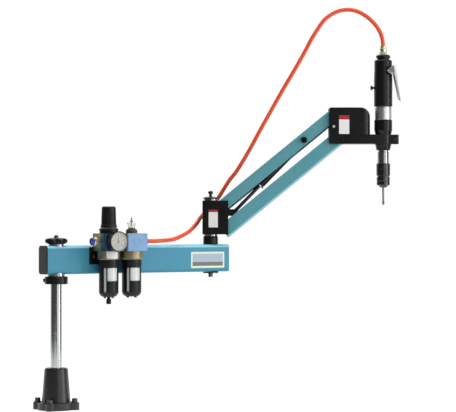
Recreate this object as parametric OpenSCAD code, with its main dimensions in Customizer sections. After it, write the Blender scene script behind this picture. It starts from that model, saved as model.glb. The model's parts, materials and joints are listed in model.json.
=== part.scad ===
/* [Foot and column] */
// Height of the cast foot
foot_h = 116; // [100:1:140]
// Thickness of the foot's flange
flange_h = 20; // [14:1:26]
// Diameter of the foot's cone where it meets the flange
foot_cone_d = 80; // [74:1:86]
// Diameter of the foot's cone at its top
foot_top_d = 65; // [56:1:72]
// Diameter of the circle that the foot bolts stand on
bolt_circle_d = 108; // [108:1:124]
// Number of foot bolts
foot_bolt_count = 4; // [3:1:6]
// Thread diameter of the foot bolts
foot_bolt_d = 10; // [8:1:12]
// Length of foot bolt that stands out below the foot
foot_stud_l = 18; // [10:1:30]
// Diameter of the column
column_d = 32; // [28:1:36]
// Height of the beam's underside above the foot's underside
beam_z = 377.5; // [300:0.5:420]
// Diameter of the collar that carries the beam
collar_d = 65; // [60:1:72]
// Height of the collar that carries the beam
collar_h = 21; // [16:1:26]
// Diameter of the beam's clamp knob across its lobes
lock_knob_d = 65; // [60:1:76]
// Height of the beam's clamp knob
lock_knob_h = 16.5; // [14:0.5:22]

/* [Beam] */
// Distance from the column's axis to the elbow's axis
beam_reach = 511.5; // [440:0.5:600]
// Length of beam behind the column's axis
beam_tail = 39.5; // [36:0.5:60]
// Length of beam past the elbow's axis
beam_nose = 51.5; // [40:0.5:60]
// Height of the beam's section
beam_h = 80; // [70:1:90]
// Depth of the beam's section
beam_w = 50; // [48:1:60]
// Wall of the beam's section
beam_wall = 4; // [3:0.5:5]
// Corner radius of the beam's section
beam_corner_r = 10; // [8:0.5:12]

/* [Elbow] */
// Turn of the arms away from the beam
arm_turn = 33; // [0:1:60]
// Diameter of the elbow's upright shaft
elbow_shaft_d = 25; // [22:1:28]
// Diameter of the bearing that carries the elbow
elbow_bearing_d = 44; // [40:1:48]
// Height of the bearing that carries the elbow
elbow_bearing_h = 24.5; // [20:0.5:30]
// Height of the elbow block
elbow_h = 99; // [99:1:110]
// Depth of the elbow block and of the head housing
fork_depth = 56; // [54:1:60]
// Length of the elbow block behind the elbow's axis
elbow_back = 24; // [20:0.5:30]
// Distance from the elbow's axis to the arms' lower pivots
elbow_pivot_x = 45; // [44:0.5:52]

/* [Arms] */
// Length of the arms from pivot to pivot
arm_l = 412; // [370:1:480]
// Angle of the arms above the horizontal
arm_angle = 39.3; // [20:0.1:45]
// Height of the upper arm's section on its near side
upper_arm_h = 34.5; // [32:0.5:38]
// Height of the lower arm's section
lower_arm_h = 43; // [40:0.5:46]
// Width of an arm's section
arm_w = 36; // [34:1:38]
// Wall of an arm's section
arm_wall = 3; // [2:0.5:3.5]
// Outer bend radius of an arm's section
arm_bend_r = 8; // [6:0.5:10]
// Height between the two arms' pivots
pivot_gap = 75.8; // [75:0.1:80]
// Diameter of the arms' pivot pins
pivot_pin_d = 12; // [10:1:14]

/* [Gas spring] */
// Distance along the upper arm to the spring's upper bolt
spring_bolt_at = 297; // [260:1:330]
// Diameter of the spring's cylinder
spring_tube_d = 22; // [18:1:23]
// Length of the spring's cylinder below its upper eye
spring_tube_l = 188; // [160:1:200]
// Diameter of the spring's rod
spring_rod_d = 10; // [8:1:11]

/* [Head and motor] */
// Length of the head housing past the arms' pivots
head_front = 106; // [98:0.5:116]
// Distance from the arms' pivots to the motor's axis
motor_x = 145.5; // [138:0.5:160]
// Height of the head's clamp bar
clamp_h = 28; // [24:1:32]
// Outer diameter of the clamp's ring
clamp_ring_d = 47; // [46:1:54]
// Diameter of the motor's neck in the clamp
motor_neck_d = 38; // [34:1:40]
// Diameter of the motor's grip
grip_d = 54; // [50:1:57]
// Length of the motor's grip
grip_l = 137; // [125:1:150]
// Diameter of the tool's shank
tap_shank_d = 6.5; // [5:0.5:8]
// Diameter of the tool's threaded end
tap_d = 8.5; // [8:0.5:12]

/* [Air unit] */
// Distance from the column's axis to the regulator's axis
regulator_x = 133; // [120:1:150]
// Distance between the regulator's and the lubricator's axes
unit_pitch = 74; // [70:1:84]
// Width of each unit's body
unit_w = 66; // [60:1:68]
// Distance from the beam's front face to the units' axes
unit_out = 37; // [34:1:44]
// Diameter of the bowl guards
guard_d = 55; // [50:1:58]
// Length of the bowl guards
guard_l = 105; // [90:1:120]
// Diameter of the pressure gauge
gauge_d = 58; // [50:1:60]
// Outer diameter of the air hose
hose_d = 12; // [10:1:12]

/* [Hidden] */
$fn = 64;

black = "#1c1d1f";
arm_blue = "#5f9baa";
steel = "#c9ccd0";
running = 0.05;     // radial clearance of a running fit
face_gap = 0.3;     // space between faces that slide past each other

// foot and column
foot_washer_h = 2;
foot_head_d = foot_bolt_d * 1.6;
foot_thread_d = foot_bolt_d * 0.95;
lobe_r = foot_bolt_d / 2 + 8;
column_foot_z = 8;
stud_d = 8;
flange_bush_h = 6.2;
lower_bush_d = 48;
upper_bush_d = 43;
upper_bush_h = 4.5;
bush_l = 22;
sleeve_wall = 3;
bush_wall = 4;
collar_top_z = beam_z - flange_bush_h - face_gap;
beam_top_z = beam_z + beam_h;
knob_z = beam_top_z + upper_bush_h + face_gap;
column_top_z = knob_z - face_gap;
nut_z = knob_z + lock_knob_h + face_gap;
nut_flats = 13;
nut_h = 4;

// elbow, in a frame that turns with the arms
elbow_ring_h = 5;
elbow_z = beam_top_z + elbow_bearing_h + elbow_ring_h;
elbow_top_z = elbow_z + elbow_h;
top_ring_h = 5.7;
cap_z = elbow_top_z + top_ring_h + face_gap;
cap_h = 6;
fork_side = 0.6;                            // space beside an arm in its fork
arm_back = 9.5;                             // length of an arm behind its pivot
lower_pivot_z = elbow_z + 13.7;
upper_pivot_z = lower_pivot_z + pivot_gap;
arm_over = 20;                              // from the pivots up to the top of an arm's section
arm_sweep_r = norm([arm_back, lower_arm_h - arm_over]);  // reach of an arm's corner
fork_floor = elbow_pivot_x - arm_sweep_r - 2;
elbow_front = elbow_pivot_x + 7;
fork_slot_w = arm_w + 2 * fork_side;
boss_d = pivot_pin_d + 10;
elbow_bolt_d = 10;
lock_stem_d = 9;
lock_stem_depth = 22;

// gas spring
spring_foot_x = elbow_pivot_x + 22.5;
spring_foot_z = lower_pivot_z + 50.4;
spring_bolt_d = 12;
spring_bolt_head_d = 18;
far_flange_drop = 4;                        // the upper arm's far flange hangs deeper
spring_top_x = elbow_pivot_x + spring_bolt_at * cos(arm_angle);
spring_top_z = upper_pivot_z + spring_bolt_at * sin(arm_angle);
spring_run = [spring_top_x - spring_foot_x, spring_top_z - spring_foot_z];
spring_l = norm(spring_run);
spring_angle = atan2(spring_run[1], spring_run[0]);
spring_eye_d = 20;
lug_w = 24;
lug_gap = 12.6;
lug_r = 10;
rod_eye_w = 12;
rod_eye_l = 16;
rod_depth = spring_tube_l * 0.45;           // length of rod inside the cylinder at rest

// head, in a frame at the lower arm's far pivot
arm_run = arm_l * cos(arm_angle);
arm_rise = arm_l * sin(arm_angle);
head_under = 8.8;
head_over = 22.4;
head_back = 15.3;
head_h = head_under + pivot_gap + head_over;
head_slot = arm_sweep_r + 2;
bar_depth = fork_depth - 6;
bar_start = 27.5;
clamp_slit = 3;
clamp_ear_l = 24;
clamp_ear_w = 21;

// motor, from the clamp's underside upwards
neck_top = clamp_h + 43;
band_l = 40;
band_d = 49.5;
band_core_d = 40;
grip_z = neck_top + band_l;
grip_top = grip_z + grip_l;
cap_neck_h = 6;
motor_cap_h = 9;
motor_cap_d = 42;
tail_z = grip_top + cap_neck_h + motor_cap_h;
tail_l = 26;
nose_collar_h = 18;
spindle_d = 20;
spindle_sleeve_d = 33.5;
spindle_top = -nose_collar_h - 5;
chuck_top = spindle_top - 34;
chuck_d = 40.5;
chuck_h = 36;
chuck_core_d = 34.4;
chuck_sleeve_d = 39;
chuck_sleeve_h = 24;
chuck_travel = 4;
chuck_nose_h = 7;
tap_l = 51;
tap_thread_l = 11;
trigger_turn = 14;
trigger_pin_d = 5;
trigger_pin_r = grip_d / 2 - 7.5;
trigger_pin_z = grip_top - 32;
trigger_cheek = 2;
trigger_half_w = grip_d / 2 - 8;
button_z = grip_z + 55;
button_d = 6;
button_out = 10.5;

// air unit, from the ports' axis
unit_y = -beam_w / 2 - unit_out;
port_z = beam_top_z + 11.5;
lubricator_x = regulator_x + unit_pitch;
unit_front = 34;
cover_t = 3;
cover_return = 19;
cover_low = 27;
cover_high = 22.6;
neck_low = 51;
guard_wall = 2.5;
bowl_wall = 2.2;
bowl_gap = 0.4;
guard_top = -neck_low;
guard_foot = guard_top - guard_l;
bonnet_h = 8;
knob_low = cover_high + bonnet_h + 7.3;
knob_h = 60.4;
knob_d = 41;
gauge_depth = 20;
gauge_stand = 5;
fitting_flats = 22;
inlet_hex_h = 12;
outlet_hex_h = 5;
fitting_lip = 4;                            // round part past a fitting's hexagon
collar_l = 6.5;
collar_travel = 1.5;

// bracket of the air unit
bracket_t = 4;
unit_back = unit_out - bracket_t;
bracket_low = beam_z + beam_h * 0.34;
bracket_h = beam_h * 0.6;
bracket_end = regulator_x - unit_w * 0.64;
bracket_screw_x = [regulator_x - unit_w * 0.42, regulator_x + unit_w / 2];

// The air hose: points of its centre line, each as X, Y and Z, chosen by eye from its lie.
hose_lower_route = [[257, -62, 469], [280, -62, 469], [303, -61, 470], [328, -54, 471],
    [364, -34, 474], [404, -11, 483], [446, 14, 496], [482, 33, 517], [502, 44, 534]];
hose_rise_route = [[502, 44, 534], [518, 44, 549], [536, 40, 567], [556, 25, 597],
    [566, 16, 618], [580, 4, 647], [597, -13, 677], [624, -38, 737], [648, -60, 796],
    [673, -82, 855], [699, -103, 914], [725, -126, 972], [749, -144, 1025], [763, -157, 1061]];
hose_loop_route = [[763, -157, 1061], [780, -171, 1096], [797, -183, 1123],
    [822, -200, 1143], [849, -219, 1150], [874, -236, 1145], [897, -251, 1130],
    [916, -264, 1109], [930, -272, 1086], [936.5, -276, 1064], [938.6, -277.4, 1042]];

// Frames
module at_elbow() translate([beam_reach, 0, 0]) rotate([0, 0, -arm_turn]) children();
module along_arm(pivot_z)
    at_elbow() translate([elbow_pivot_x, 0, pivot_z]) rotate([0, -arm_angle, 0]) children();
module along_spring()
    at_elbow() translate([spring_top_x, 0, spring_top_z]) rotate([0, 180 - spring_angle, 0])
        children();
module at_head()
    at_elbow() translate([elbow_pivot_x + arm_run, 0, lower_pivot_z + arm_rise]) children();
module at_motor() at_head() translate([motor_x, 0, -head_under]) children();
module at_trigger() at_motor() rotate([0, 0, -trigger_turn]) children();
module at_unit(x) translate([x, unit_y, port_z]) children();

// Shared shapes
module across(d, w) rotate([90, 0, 0]) cylinder(d = d, h = w, center = true);
module ring(outer_d, inner_d, h)
    difference() {
        cylinder(d = outer_d, h = h);
        translate([0, 0, -1]) cylinder(d = inner_d, h = h + 2);
    }
module turned(points) rotate_extrude($fn = 96) polygon(points);
module rounded_square(w, h, r)
    union() {
        translate([r, 0]) square([w - 2 * r, h]);
        translate([0, r]) square([w, h - 2 * r]);
        for (x = [r, w - r], y = [r, h - r]) translate([x, y]) circle(r = r);
    }
module cap_screw(d, shank_l, thread_d, thread_l) {
    head_r = d * 0.8;
    difference() {
        turned([[0, -shank_l - thread_l], [thread_d / 2 - 1, -shank_l - thread_l],
            [thread_d / 2, -shank_l - thread_l + 1], [thread_d / 2, -shank_l], [d / 2, -shank_l],
            [d / 2, 0], [head_r, 0], [head_r, d - 0.8], [head_r - 0.8, d], [0, d]]);
        translate([0, 0, d / 2]) cylinder(d = d * 0.92, h = d, $fn = 6);
    }
}

// Foot and column
module foot() {
    cone_foot_r = foot_cone_d / 2;
    cone_top_r = foot_top_d / 2;
    color(black) difference() {
        union() {
            linear_extrude(flange_h) flange_outline();
            turned([[0, 1], [cone_foot_r + 3, 1], [cone_foot_r + 3, flange_h + 0.5],
                [cone_foot_r + 1.2, flange_h + 1.4], [cone_foot_r, flange_h + 4],
                [cone_top_r + 0.4, foot_h - 4], [cone_top_r - 2.5, foot_h], [0, foot_h]]);
        }
        foot_bolt_places() translate([0, 0, -1]) cylinder(d = foot_bolt_d + 1, h = flange_h + 2);
        translate([0, 0, column_foot_z]) cylinder(d = column_d, h = foot_h);
        foot_screw_place() cylinder(d = 8, h = foot_top_d);
    }
}
module foot_bolt_places()
    for (i = [0 : foot_bolt_count - 1])
        rotate([0, 0, 45 + i * 360 / foot_bolt_count]) translate([bolt_circle_d / 2, 0, 0]) children();
module flange_outline() {
    reach = bolt_circle_d / 2;
    circle(r = reach - 2);
    for (i = [0 : foot_bolt_count - 1]) rotate(45 + i * 360 / foot_bolt_count) {
        translate([reach, 0]) circle(r = lobe_r);
        polygon([[reach - 18, -lobe_r - 8], [reach, -lobe_r + 0.3], [reach, lobe_r - 0.3],
            [reach - 18, lobe_r + 8]]);
    }
}
module foot_screw_place() translate([0, 0, foot_h - 16]) rotate([-90, 0, 0]) children();
module foot_bolts() color("#2a2b2e") foot_bolt_places() translate([0, 0, flange_h]) {
    ring(foot_head_d + 4, foot_bolt_d, foot_washer_h);
    translate([0, 0, foot_washer_h])
        cap_screw(foot_bolt_d, flange_h + foot_washer_h, foot_thread_d, foot_stud_l);
}
module column() color("#d5d8dc") {
    turned([[0, column_foot_z], [column_d / 2 - 1, column_foot_z],
        [column_d / 2, column_foot_z + 1], [column_d / 2, column_top_z - 1],
        [column_d / 2 - 1, column_top_z], [stud_d / 2, column_top_z],
        [stud_d / 2, nut_z + nut_h - 0.5], [0, nut_z + nut_h - 0.5]]);
}
module collar_screw_place()
    translate([0, 0, collar_top_z - collar_h / 2]) rotate([0, 0, 90 + 57]) rotate([0, 90, 0]) children();
module height_collar() color(black) difference() {
    turned([[column_d / 2, collar_top_z - collar_h], [collar_d / 2 - 1.5, collar_top_z - collar_h],
        [collar_d / 2, collar_top_z - collar_h + 1.5], [collar_d / 2, collar_top_z - 1.5],
        [collar_d / 2 - 1.5, collar_top_z], [column_d / 2, collar_top_z]]);
    translate([0, collar_d / 4, collar_top_z - collar_h / 2])
        cube([2.5, collar_d / 2, collar_h + 2], center = true);
    collar_screw_place() cylinder(d = 6, h = collar_d);
}
module column_screws() color("#2f3134") {
    foot_screw_place() difference() {
        translate([0, 0, column_d / 2]) cylinder(d = 8, h = 12);
        translate([0, 0, column_d / 2 + 8]) cylinder(d = 4.6, h = 6, $fn = 6);
    }
    collar_screw_place() difference() {
        union() {
            translate([0, 0, column_d / 2]) cylinder(d = 6, h = (collar_d - column_d) / 2 + 1);
            translate([0, 0, collar_d / 2]) cylinder(d = 10, h = 4);
        }
        translate([0, 0, collar_d / 2 + 2]) cylinder(d = 5.5, h = 4, $fn = 6);
    }
    translate([0, 0, nut_z]) difference() {
        union() {
            cylinder(d = nut_flats / cos(30), h = nut_h, $fn = 6);
            turned([[0, 0], [nut_flats / 2 - 0.5, 0], [nut_flats / 2 - 0.5, nut_h],
                [nut_flats / 2 - 1.2, nut_h + 2], [nut_flats / 2 - 3, nut_h + 3.6], [0, nut_h + 4.2]]);
        }
        translate([0, 0, -1]) cylinder(d = stud_d, h = nut_h + 0.5);
    }
}
module lock_knob() {
    lobe = 6.5;
    color(black) translate([0, 0, knob_z]) difference() {
        intersection() {
            linear_extrude(lock_knob_h) union() {
                circle(r = lock_knob_d / 2 - 4.5);
                for (i = [0 : 7]) rotate(i * 45) translate([lock_knob_d / 2 - lobe, 0]) circle(r = lobe);
            }
            turned([[0, 0], [lock_knob_d * 0.37, 0], [lock_knob_d / 2, 5],
                [lock_knob_d / 2, lock_knob_h - 5.5], [lock_knob_d * 0.42, lock_knob_h - 1.6],
                [lock_knob_d * 0.3, lock_knob_h], [0, lock_knob_h]]);
        }
        translate([0, 0, -1]) cylinder(d = stud_d + 2 * running, h = lock_knob_h + 2);
    }
}

// Beam
module beam_section(r, inset)
    translate([inset, inset]) rounded_square(beam_h - 2 * inset, beam_w - 2 * inset, r - inset);
module beam_tube() {
    length = beam_tail + beam_reach + beam_nose;
    end_r = 6;
    color("#4693ad") difference() {
        intersection() {
            translate([-beam_tail, -beam_w / 2, beam_z + beam_h]) rotate([0, 90, 0])
                linear_extrude(length) beam_section(beam_corner_r, 0);
            translate([-beam_tail - 2 * end_r, beam_w / 2 + 1, beam_z]) rotate([90, 0, 0])
                linear_extrude(beam_w + 2) rounded_square(length + 2 * end_r, beam_h, end_r);
            translate([-beam_tail - 2 * end_r, -beam_w / 2, beam_z - 1])
                linear_extrude(beam_h + 2) rounded_square(length + 2 * end_r, beam_w, end_r);
        }
        translate([-beam_tail - 1, -beam_w / 2, beam_z + beam_h]) rotate([0, 90, 0])
            linear_extrude(length + 1 - beam_wall) beam_section(beam_corner_r, beam_wall);
        for (x = [0, beam_reach]) translate([x, 0, beam_z - 1])
            cylinder(d = sleeve_d(x), h = beam_h + 2);
        bracket_screw_places() translate([0, 0, -1]) cylinder(d = 5, h = beam_wall + 2);
    }
}
function sleeve_d(x) = (x == 0 ? column_d + 2 * bush_wall : elbow_shaft_d) + 2 * sleeve_wall;
module beam_end_plug() color("#26272a") {
    plug_l = 14;
    translate([-beam_tail, -beam_w / 2, beam_z + beam_h]) rotate([0, 90, 0]) {
        linear_extrude(plug_l) beam_section(beam_corner_r, beam_wall);
        translate([0, 0, -3]) linear_extrude(3) beam_section(beam_corner_r, 0);
    }
}
module beam_sleeves() color("#8a8f94")
    for (x = [0, beam_reach]) translate([x, 0, beam_z])
        ring(sleeve_d(x), sleeve_d(x) - 2 * sleeve_wall, beam_h);
module column_bushes() color(steel) {
    bore = column_d / 2 + running;
    barrel = column_d / 2 + bush_wall;
    turned([[bore, beam_z - flange_bush_h], [lower_bush_d / 2 - 0.8, beam_z - flange_bush_h],
        [lower_bush_d / 2, beam_z - flange_bush_h + 0.8], [lower_bush_d / 2, beam_z],
        [barrel, beam_z], [barrel, beam_z + bush_l], [bore, beam_z + bush_l]]);
    turned([[bore, beam_top_z - bush_l], [barrel, beam_top_z - bush_l], [barrel, beam_top_z],
        [upper_bush_d / 2, beam_top_z], [upper_bush_d / 2, beam_top_z + upper_bush_h - 0.8],
        [upper_bush_d / 2 - 0.8, beam_top_z + upper_bush_h], [bore, beam_top_z + upper_bush_h]]);
}

// Elbow
module elbow_shaft() color(steel) translate([beam_reach, 0, 0]) difference() {
    translate([0, 0, beam_z]) cylinder(d = elbow_shaft_d, h = cap_z - beam_z);
    translate([0, 0, cap_z - lock_stem_depth - 1])
        cylinder(d = lock_stem_d + 2 * running, h = lock_stem_depth + 2);
    translate([0, 0, beam_z - 1]) cylinder(d = elbow_bolt_d, h = 31);
}
module elbow_bearing() color(black) translate([beam_reach, 0, beam_top_z]) {
    r = elbow_bearing_d / 2;
    turned([[elbow_shaft_d / 2, 0], [r, 0], [r, elbow_bearing_h - 4], [r - 1, elbow_bearing_h - 3.5],
        [r - 1, elbow_bearing_h], [elbow_shaft_d / 2, elbow_bearing_h]]);
}
module elbow_rings() color(steel) translate([beam_reach, 0, 0]) {
    bore = elbow_shaft_d + 2 * running;
    translate([0, 0, elbow_z - elbow_ring_h + face_gap])
        ring(elbow_bearing_d - 4, bore, elbow_ring_h - face_gap);
    translate([0, 0, elbow_top_z]) ring(elbow_bearing_d - 4, bore, top_ring_h);
}
module elbow_top_cap() color(black) translate([beam_reach, 0, cap_z]) {
    bore = lock_stem_d / 2 + running;
    r = elbow_bearing_d / 2 + 0.5;
    turned([[bore, 0], [r, 0], [r, 2], [r - 3, 4], [r - 10, 5.5], [bore + 3, cap_h], [bore, cap_h]]);
}
module beam_screws() color("#2f3134") {
    washer_h = 4.5;
    bolt_head_d = 1.45 * elbow_bolt_d;
    bolt_head_h = 11.5;
    bolt_flange_h = 3.5;
    bolt_in = 26;
    translate([beam_reach, 0, beam_z - washer_h]) {
        ring(elbow_bearing_d + 2, elbow_bolt_d, washer_h);
        mirror([0, 0, 1]) {
            cylinder(d = bolt_head_d, h = bolt_flange_h);
            cylinder(d = bolt_head_d, h = bolt_head_h, $fn = 6);
        }
        translate([0, 0, -1]) cylinder(d = elbow_bolt_d, h = bolt_in + 1);
    }
    bracket_screw_places() {
        translate([0, 0, -4]) cylinder(d = 5, h = 12);
        translate([0, 0, -7]) turned([[0, 0], [3.6, 0], [5, 1.5], [5, 3], [0, 3]]);
    }
}
module elbow_block() color("#1a1a1c") at_elbow() {
    edge_r = 7;
    difference() {
        union() {
            translate([-elbow_back, -fork_depth / 2, elbow_z]) linear_extrude(elbow_h)
                rounded_square(elbow_back + elbow_front, fork_depth, edge_r);
            translate([elbow_front - 2 * edge_r, -fork_depth / 2, elbow_z])
                cube([2 * edge_r, fork_depth, elbow_h]);
        }
        translate([fork_floor, -fork_slot_w / 2, elbow_z - 1])
            cube([elbow_front, fork_slot_w, elbow_h + 2]);
        translate([0, 0, elbow_z - 1]) cylinder(d = elbow_shaft_d + 2 * running, h = elbow_h + 2);
        for (z = [lower_pivot_z, upper_pivot_z])
            translate([elbow_pivot_x, 0, z]) across(pivot_pin_d, fork_depth + 2);
    }
    for (side = [-1, 1]) translate([0, side * (lug_gap + lug_w) / 4, spring_foot_z])
        spring_lug((lug_w - lug_gap) / 2);
}
module spring_lug(w) {
    translate([fork_floor - 2, -w / 2, -lug_r]) cube([spring_foot_x - fork_floor + 2, w, 2 * lug_r]);
    translate([spring_foot_x, 0, 0]) across(2 * lug_r, w);
}
module elbow_pins() color("#3a3c40") at_elbow()
    for (z = [lower_pivot_z, upper_pivot_z])
        translate([elbow_pivot_x, 0, z]) across(pivot_pin_d, fork_depth - 1);
module elbow_lock_screw() color("#34363a") translate([beam_reach, 0, cap_z]) {
    head = 7.5;
    turned([[0, -lock_stem_depth], [lock_stem_d / 2, -lock_stem_depth], [lock_stem_d / 2, 14],
        [head - 1, 14.5], [head, 16], [head, 20], [head - 1.5, 22], [head - 4, 23], [0, 23]]);
}

// Arms
module arm_section(h) difference() {
    translate([-arm_w / 2, 0]) rounded_square(arm_w, h, arm_bend_r);
    translate([-arm_w / 2 + arm_wall, arm_wall])
        rounded_square(arm_w - 2 * arm_wall, h - 2 * arm_wall, arm_bend_r - arm_wall);
}
module channel_section(near_h, far_h) union() {
    intersection() {
        arm_section(near_h);
        translate([-arm_w, 0]) square([2 * arm_w, near_h / 2]);
    }
    translate([-arm_w / 2, near_h / 2 - 0.01]) square([arm_wall, near_h / 2 + 0.01]);
    translate([arm_w / 2 - arm_wall, near_h / 2 - 0.01]) square([arm_wall, far_h - near_h / 2 + 0.01]);
}
module channel_arm(near_h, far_h, web_z, open_side) difference() {
    union() {
        translate([-arm_back, 0, web_z]) rotate([90, 0, 90]) linear_extrude(arm_l + 2 * arm_back)
            scale([1, open_side]) channel_section(near_h, far_h);
        for (x = [0, arm_l]) translate([x, 0, 0]) across(boss_d, arm_w - arm_wall);
    }
    for (x = [0, arm_l]) translate([x, 0, 0]) across(pivot_pin_d + 2 * running, arm_w + 2);
}
module upper_arm() color(arm_blue) along_arm(upper_pivot_z) difference() {
    channel_arm(upper_arm_h, upper_arm_h + far_flange_drop, arm_over, -1);
    translate([spring_bolt_at, 0, 0]) across(spring_bolt_d, arm_w + 2);
}
module lower_arm() color(arm_blue) along_arm(lower_pivot_z)
    channel_arm(lower_arm_h, lower_arm_h, arm_over - lower_arm_h, 1);
module spring_bolt() color("#17181a") along_arm(upper_pivot_z) translate([spring_bolt_at, 0, 0]) {
    head_r = spring_bolt_head_d / 2;
    across(spring_bolt_d, arm_w);
    translate([0, -arm_w / 2, 0]) rotate([90, 0, 0]) difference() {
        turned([[0, 0], [head_r, 0], [head_r, 7], [head_r - 1, 8], [0, 8]]);
        translate([0, 0, 4]) cylinder(d = spring_bolt_d * 0.95, h = 5, $fn = 6);
    }
    translate([0, arm_w / 2, 0]) rotate([-90, 0, 0])
        cylinder(d = spring_bolt_head_d / cos(30), h = spring_bolt_d * 0.7, $fn = 6);
}

// Gas spring: its cylinder hangs from the upper arm, its rod stands on the elbow's lug
module spring_cylinder() color("#141416") along_spring() difference() {
    union() {
        across(spring_eye_d, 16);
        rotate([0, 90, 0]) turned([[0, 0], [7, 0], [7, 16],
            [spring_tube_d / 2, 20], [spring_tube_d / 2, spring_tube_l - 9],
            [spring_tube_d / 2 - 1, spring_tube_l - 8], [spring_tube_d / 2 - 1, spring_tube_l - 6],
            [spring_tube_d / 2 + 1, spring_tube_l - 5], [spring_tube_d / 2 + 1, spring_tube_l],
            [0, spring_tube_l]]);
    }
    across(spring_bolt_d + 2 * running, 20);
    rotate([0, 90, 0]) translate([0, 0, 40])
        cylinder(d = spring_rod_d + 2 * running, h = spring_tube_l);
}
module spring_rod() color("#3a3d41") along_spring() {
    inner_end = spring_tube_l - rod_depth;
    rotate([0, 90, 0]) translate([0, 0, inner_end])
        cylinder(d = spring_rod_d, h = spring_l - inner_end - 4);
    translate([spring_l, 0, 0]) across(rod_eye_l, rod_eye_w - 1);
    rotate([0, 90, 0]) translate([0, 0, spring_l - rod_eye_l])
        cylinder(d = rod_eye_w - 1, h = rod_eye_l - 4);
}

// Head
module head_profile() {
    corner = 30;
    difference() {
        translate([-head_back, -head_under]) rounded_square(head_back + head_front, head_h, 5);
        translate([head_front - corner, head_h - head_under - corner]) difference() {
            square(corner + 1);
            circle(r = corner);
        }
    }
}
module head_housing() color("#1e1f21") at_head() difference() {
    intersection() {
        rotate([90, 0, 0]) translate([0, 0, -fork_depth / 2]) linear_extrude(fork_depth) head_profile();
        translate([-head_back, -fork_depth / 2, -head_under - 1]) linear_extrude(head_h + 2) {
            rounded_square(head_back + head_front, fork_depth, 20);
            square([head_back + head_front / 2, fork_depth]);
        }
    }
    translate([-head_back - 1, -fork_slot_w / 2, -head_under - 1])
        cube([head_back + head_slot + 1, fork_slot_w, head_h + 2]);
    translate([bar_start, -fork_depth, -head_under - 1])
        cube([head_front, 2 * fork_depth, clamp_h + 1]);
    for (z = [0, pivot_gap]) translate([0, 0, z]) across(pivot_pin_d, fork_depth + 2);
    cover_screw_place() cylinder(d = 5, h = 8);
}
module cover_screw_place()
    translate([-2, -fork_depth / 2 - 1, pivot_gap * 0.56]) rotate([-90, 0, 0]) children();
module head_pins() color("#3a3c40") at_head()
    for (z = [0, pivot_gap]) translate([0, 0, z]) across(pivot_pin_d, fork_depth - 1);
module clamp_bar() {
    ring_r = clamp_ring_d / 2;
    ear_end = motor_x + ring_r + clamp_ear_l - 2;
    color("#232426") at_head() translate([0, 0, -head_under]) difference() {
        linear_extrude(clamp_h) difference() {
            union() {
                polygon([[bar_start, -bar_depth / 2], [head_front - 8, -bar_depth / 2],
                    [motor_x, -ring_r], [motor_x, ring_r], [head_front - 8, bar_depth / 2],
                    [bar_start, bar_depth / 2]]);
                translate([motor_x, 0]) circle(d = clamp_ring_d);
                translate([motor_x, -clamp_ear_w / 2])
                    rounded_square(ear_end - motor_x, clamp_ear_w, 6);
            }
            translate([motor_x, 0]) circle(d = motor_neck_d);
            translate([motor_x, -clamp_slit / 2]) square([2 * clamp_ring_d, clamp_slit]);
        }
        clamp_screw_place() across(8, 2 * clamp_ear_w);
    }
}
module clamp_screw_place()
    translate([motor_x + clamp_ring_d / 2 + clamp_ear_l / 2, 0, clamp_h / 2]) children();
module head_screws() at_head() {
    color("#e6e8ea") cover_screw_place() difference() {
        union() {
            cylinder(d = 5, h = 8);
            translate([0, 0, -1.5]) turned([[0, 0], [2.8, 0], [4, 1.2], [4, 2.5], [0, 2.5]]);
        }
        translate([0, 0, -2]) cylinder(d = 3.4, h = 2, $fn = 6);
    }
    color("#2f3134") translate([0, 0, -head_under]) clamp_screw_place() {
        across(8, clamp_ear_w);
        translate([0, clamp_ear_w / 2, 0]) rotate([-90, 0, 0]) difference() {
            cylinder(d = 13, h = 8);
            translate([0, 0, 4]) cylinder(d = 7, h = 5, $fn = 6);
        }
    }
}

// Motor
module motor_neck() color("#222325") at_motor() difference() {
    turned([[0, -nose_collar_h], [motor_neck_d / 2 - 6, -nose_collar_h], [motor_neck_d / 2 - 6, 0],
        [motor_neck_d / 2, 0], [motor_neck_d / 2, clamp_h], [23, clamp_h], [23.5, clamp_h + 2],
        [26, clamp_h + 11], [26.5, clamp_h + 14], [26.5, neck_top - 1.5], [25.5, neck_top],
        [0, neck_top]]);
    translate([0, 0, -nose_collar_h - 1]) cylinder(d = spindle_d + 2 * running, h = nose_collar_h + 21);
}
module nose_collar() color("#202123") at_motor()
    turned([[motor_neck_d / 2 - 6, -nose_collar_h], [20, -nose_collar_h], [22.5, -5], [24, -2],
        [24, 0], [motor_neck_d / 2 - 6, 0]]);
module motor_band() color("#e2e3e1") at_motor() translate([0, 0, neck_top])
    turned([[band_core_d / 2, 0], [band_d / 2 - 0.8, 0], [band_d / 2, 0.8], [band_d / 2, band_l - 3],
        [band_d / 2 - 1.5, band_l - 2.5], [band_d / 2 - 1.5, band_l], [band_core_d / 2, band_l]]);
module motor_grip() {
    r = grip_d / 2;
    flat_h = 22;
    color("#2b2c2e") difference() {
        at_motor() turned([[0, neck_top], [band_core_d / 2, neck_top],
            [band_core_d / 2, grip_z], [r - 1, grip_z], [r, grip_z + 1.5],
            [r, grip_z + grip_l * 0.6], [r - 1, grip_z + grip_l * 0.8],
            [r - 1, grip_top - 3], [r - 3.5, grip_top], [0, grip_top]]);
        at_trigger() for (side = [-1, 1])
            translate([trigger_pin_r - 8, side * (trigger_half_w + r / 2) - r / 2, trigger_pin_z - flat_h / 2])
                cube([grip_d, r, flat_h]);
        at_trigger() translate([trigger_pin_r, 0, trigger_pin_z])
            across(trigger_pin_d + 2 * running, 2 * grip_d);
        at_motor() translate([0, 0, button_z]) rotate([0, -90, 0])
            translate([0, 0, r - 14]) cylinder(d = button_d + 2 * running, h = 20);
    }
}
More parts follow.
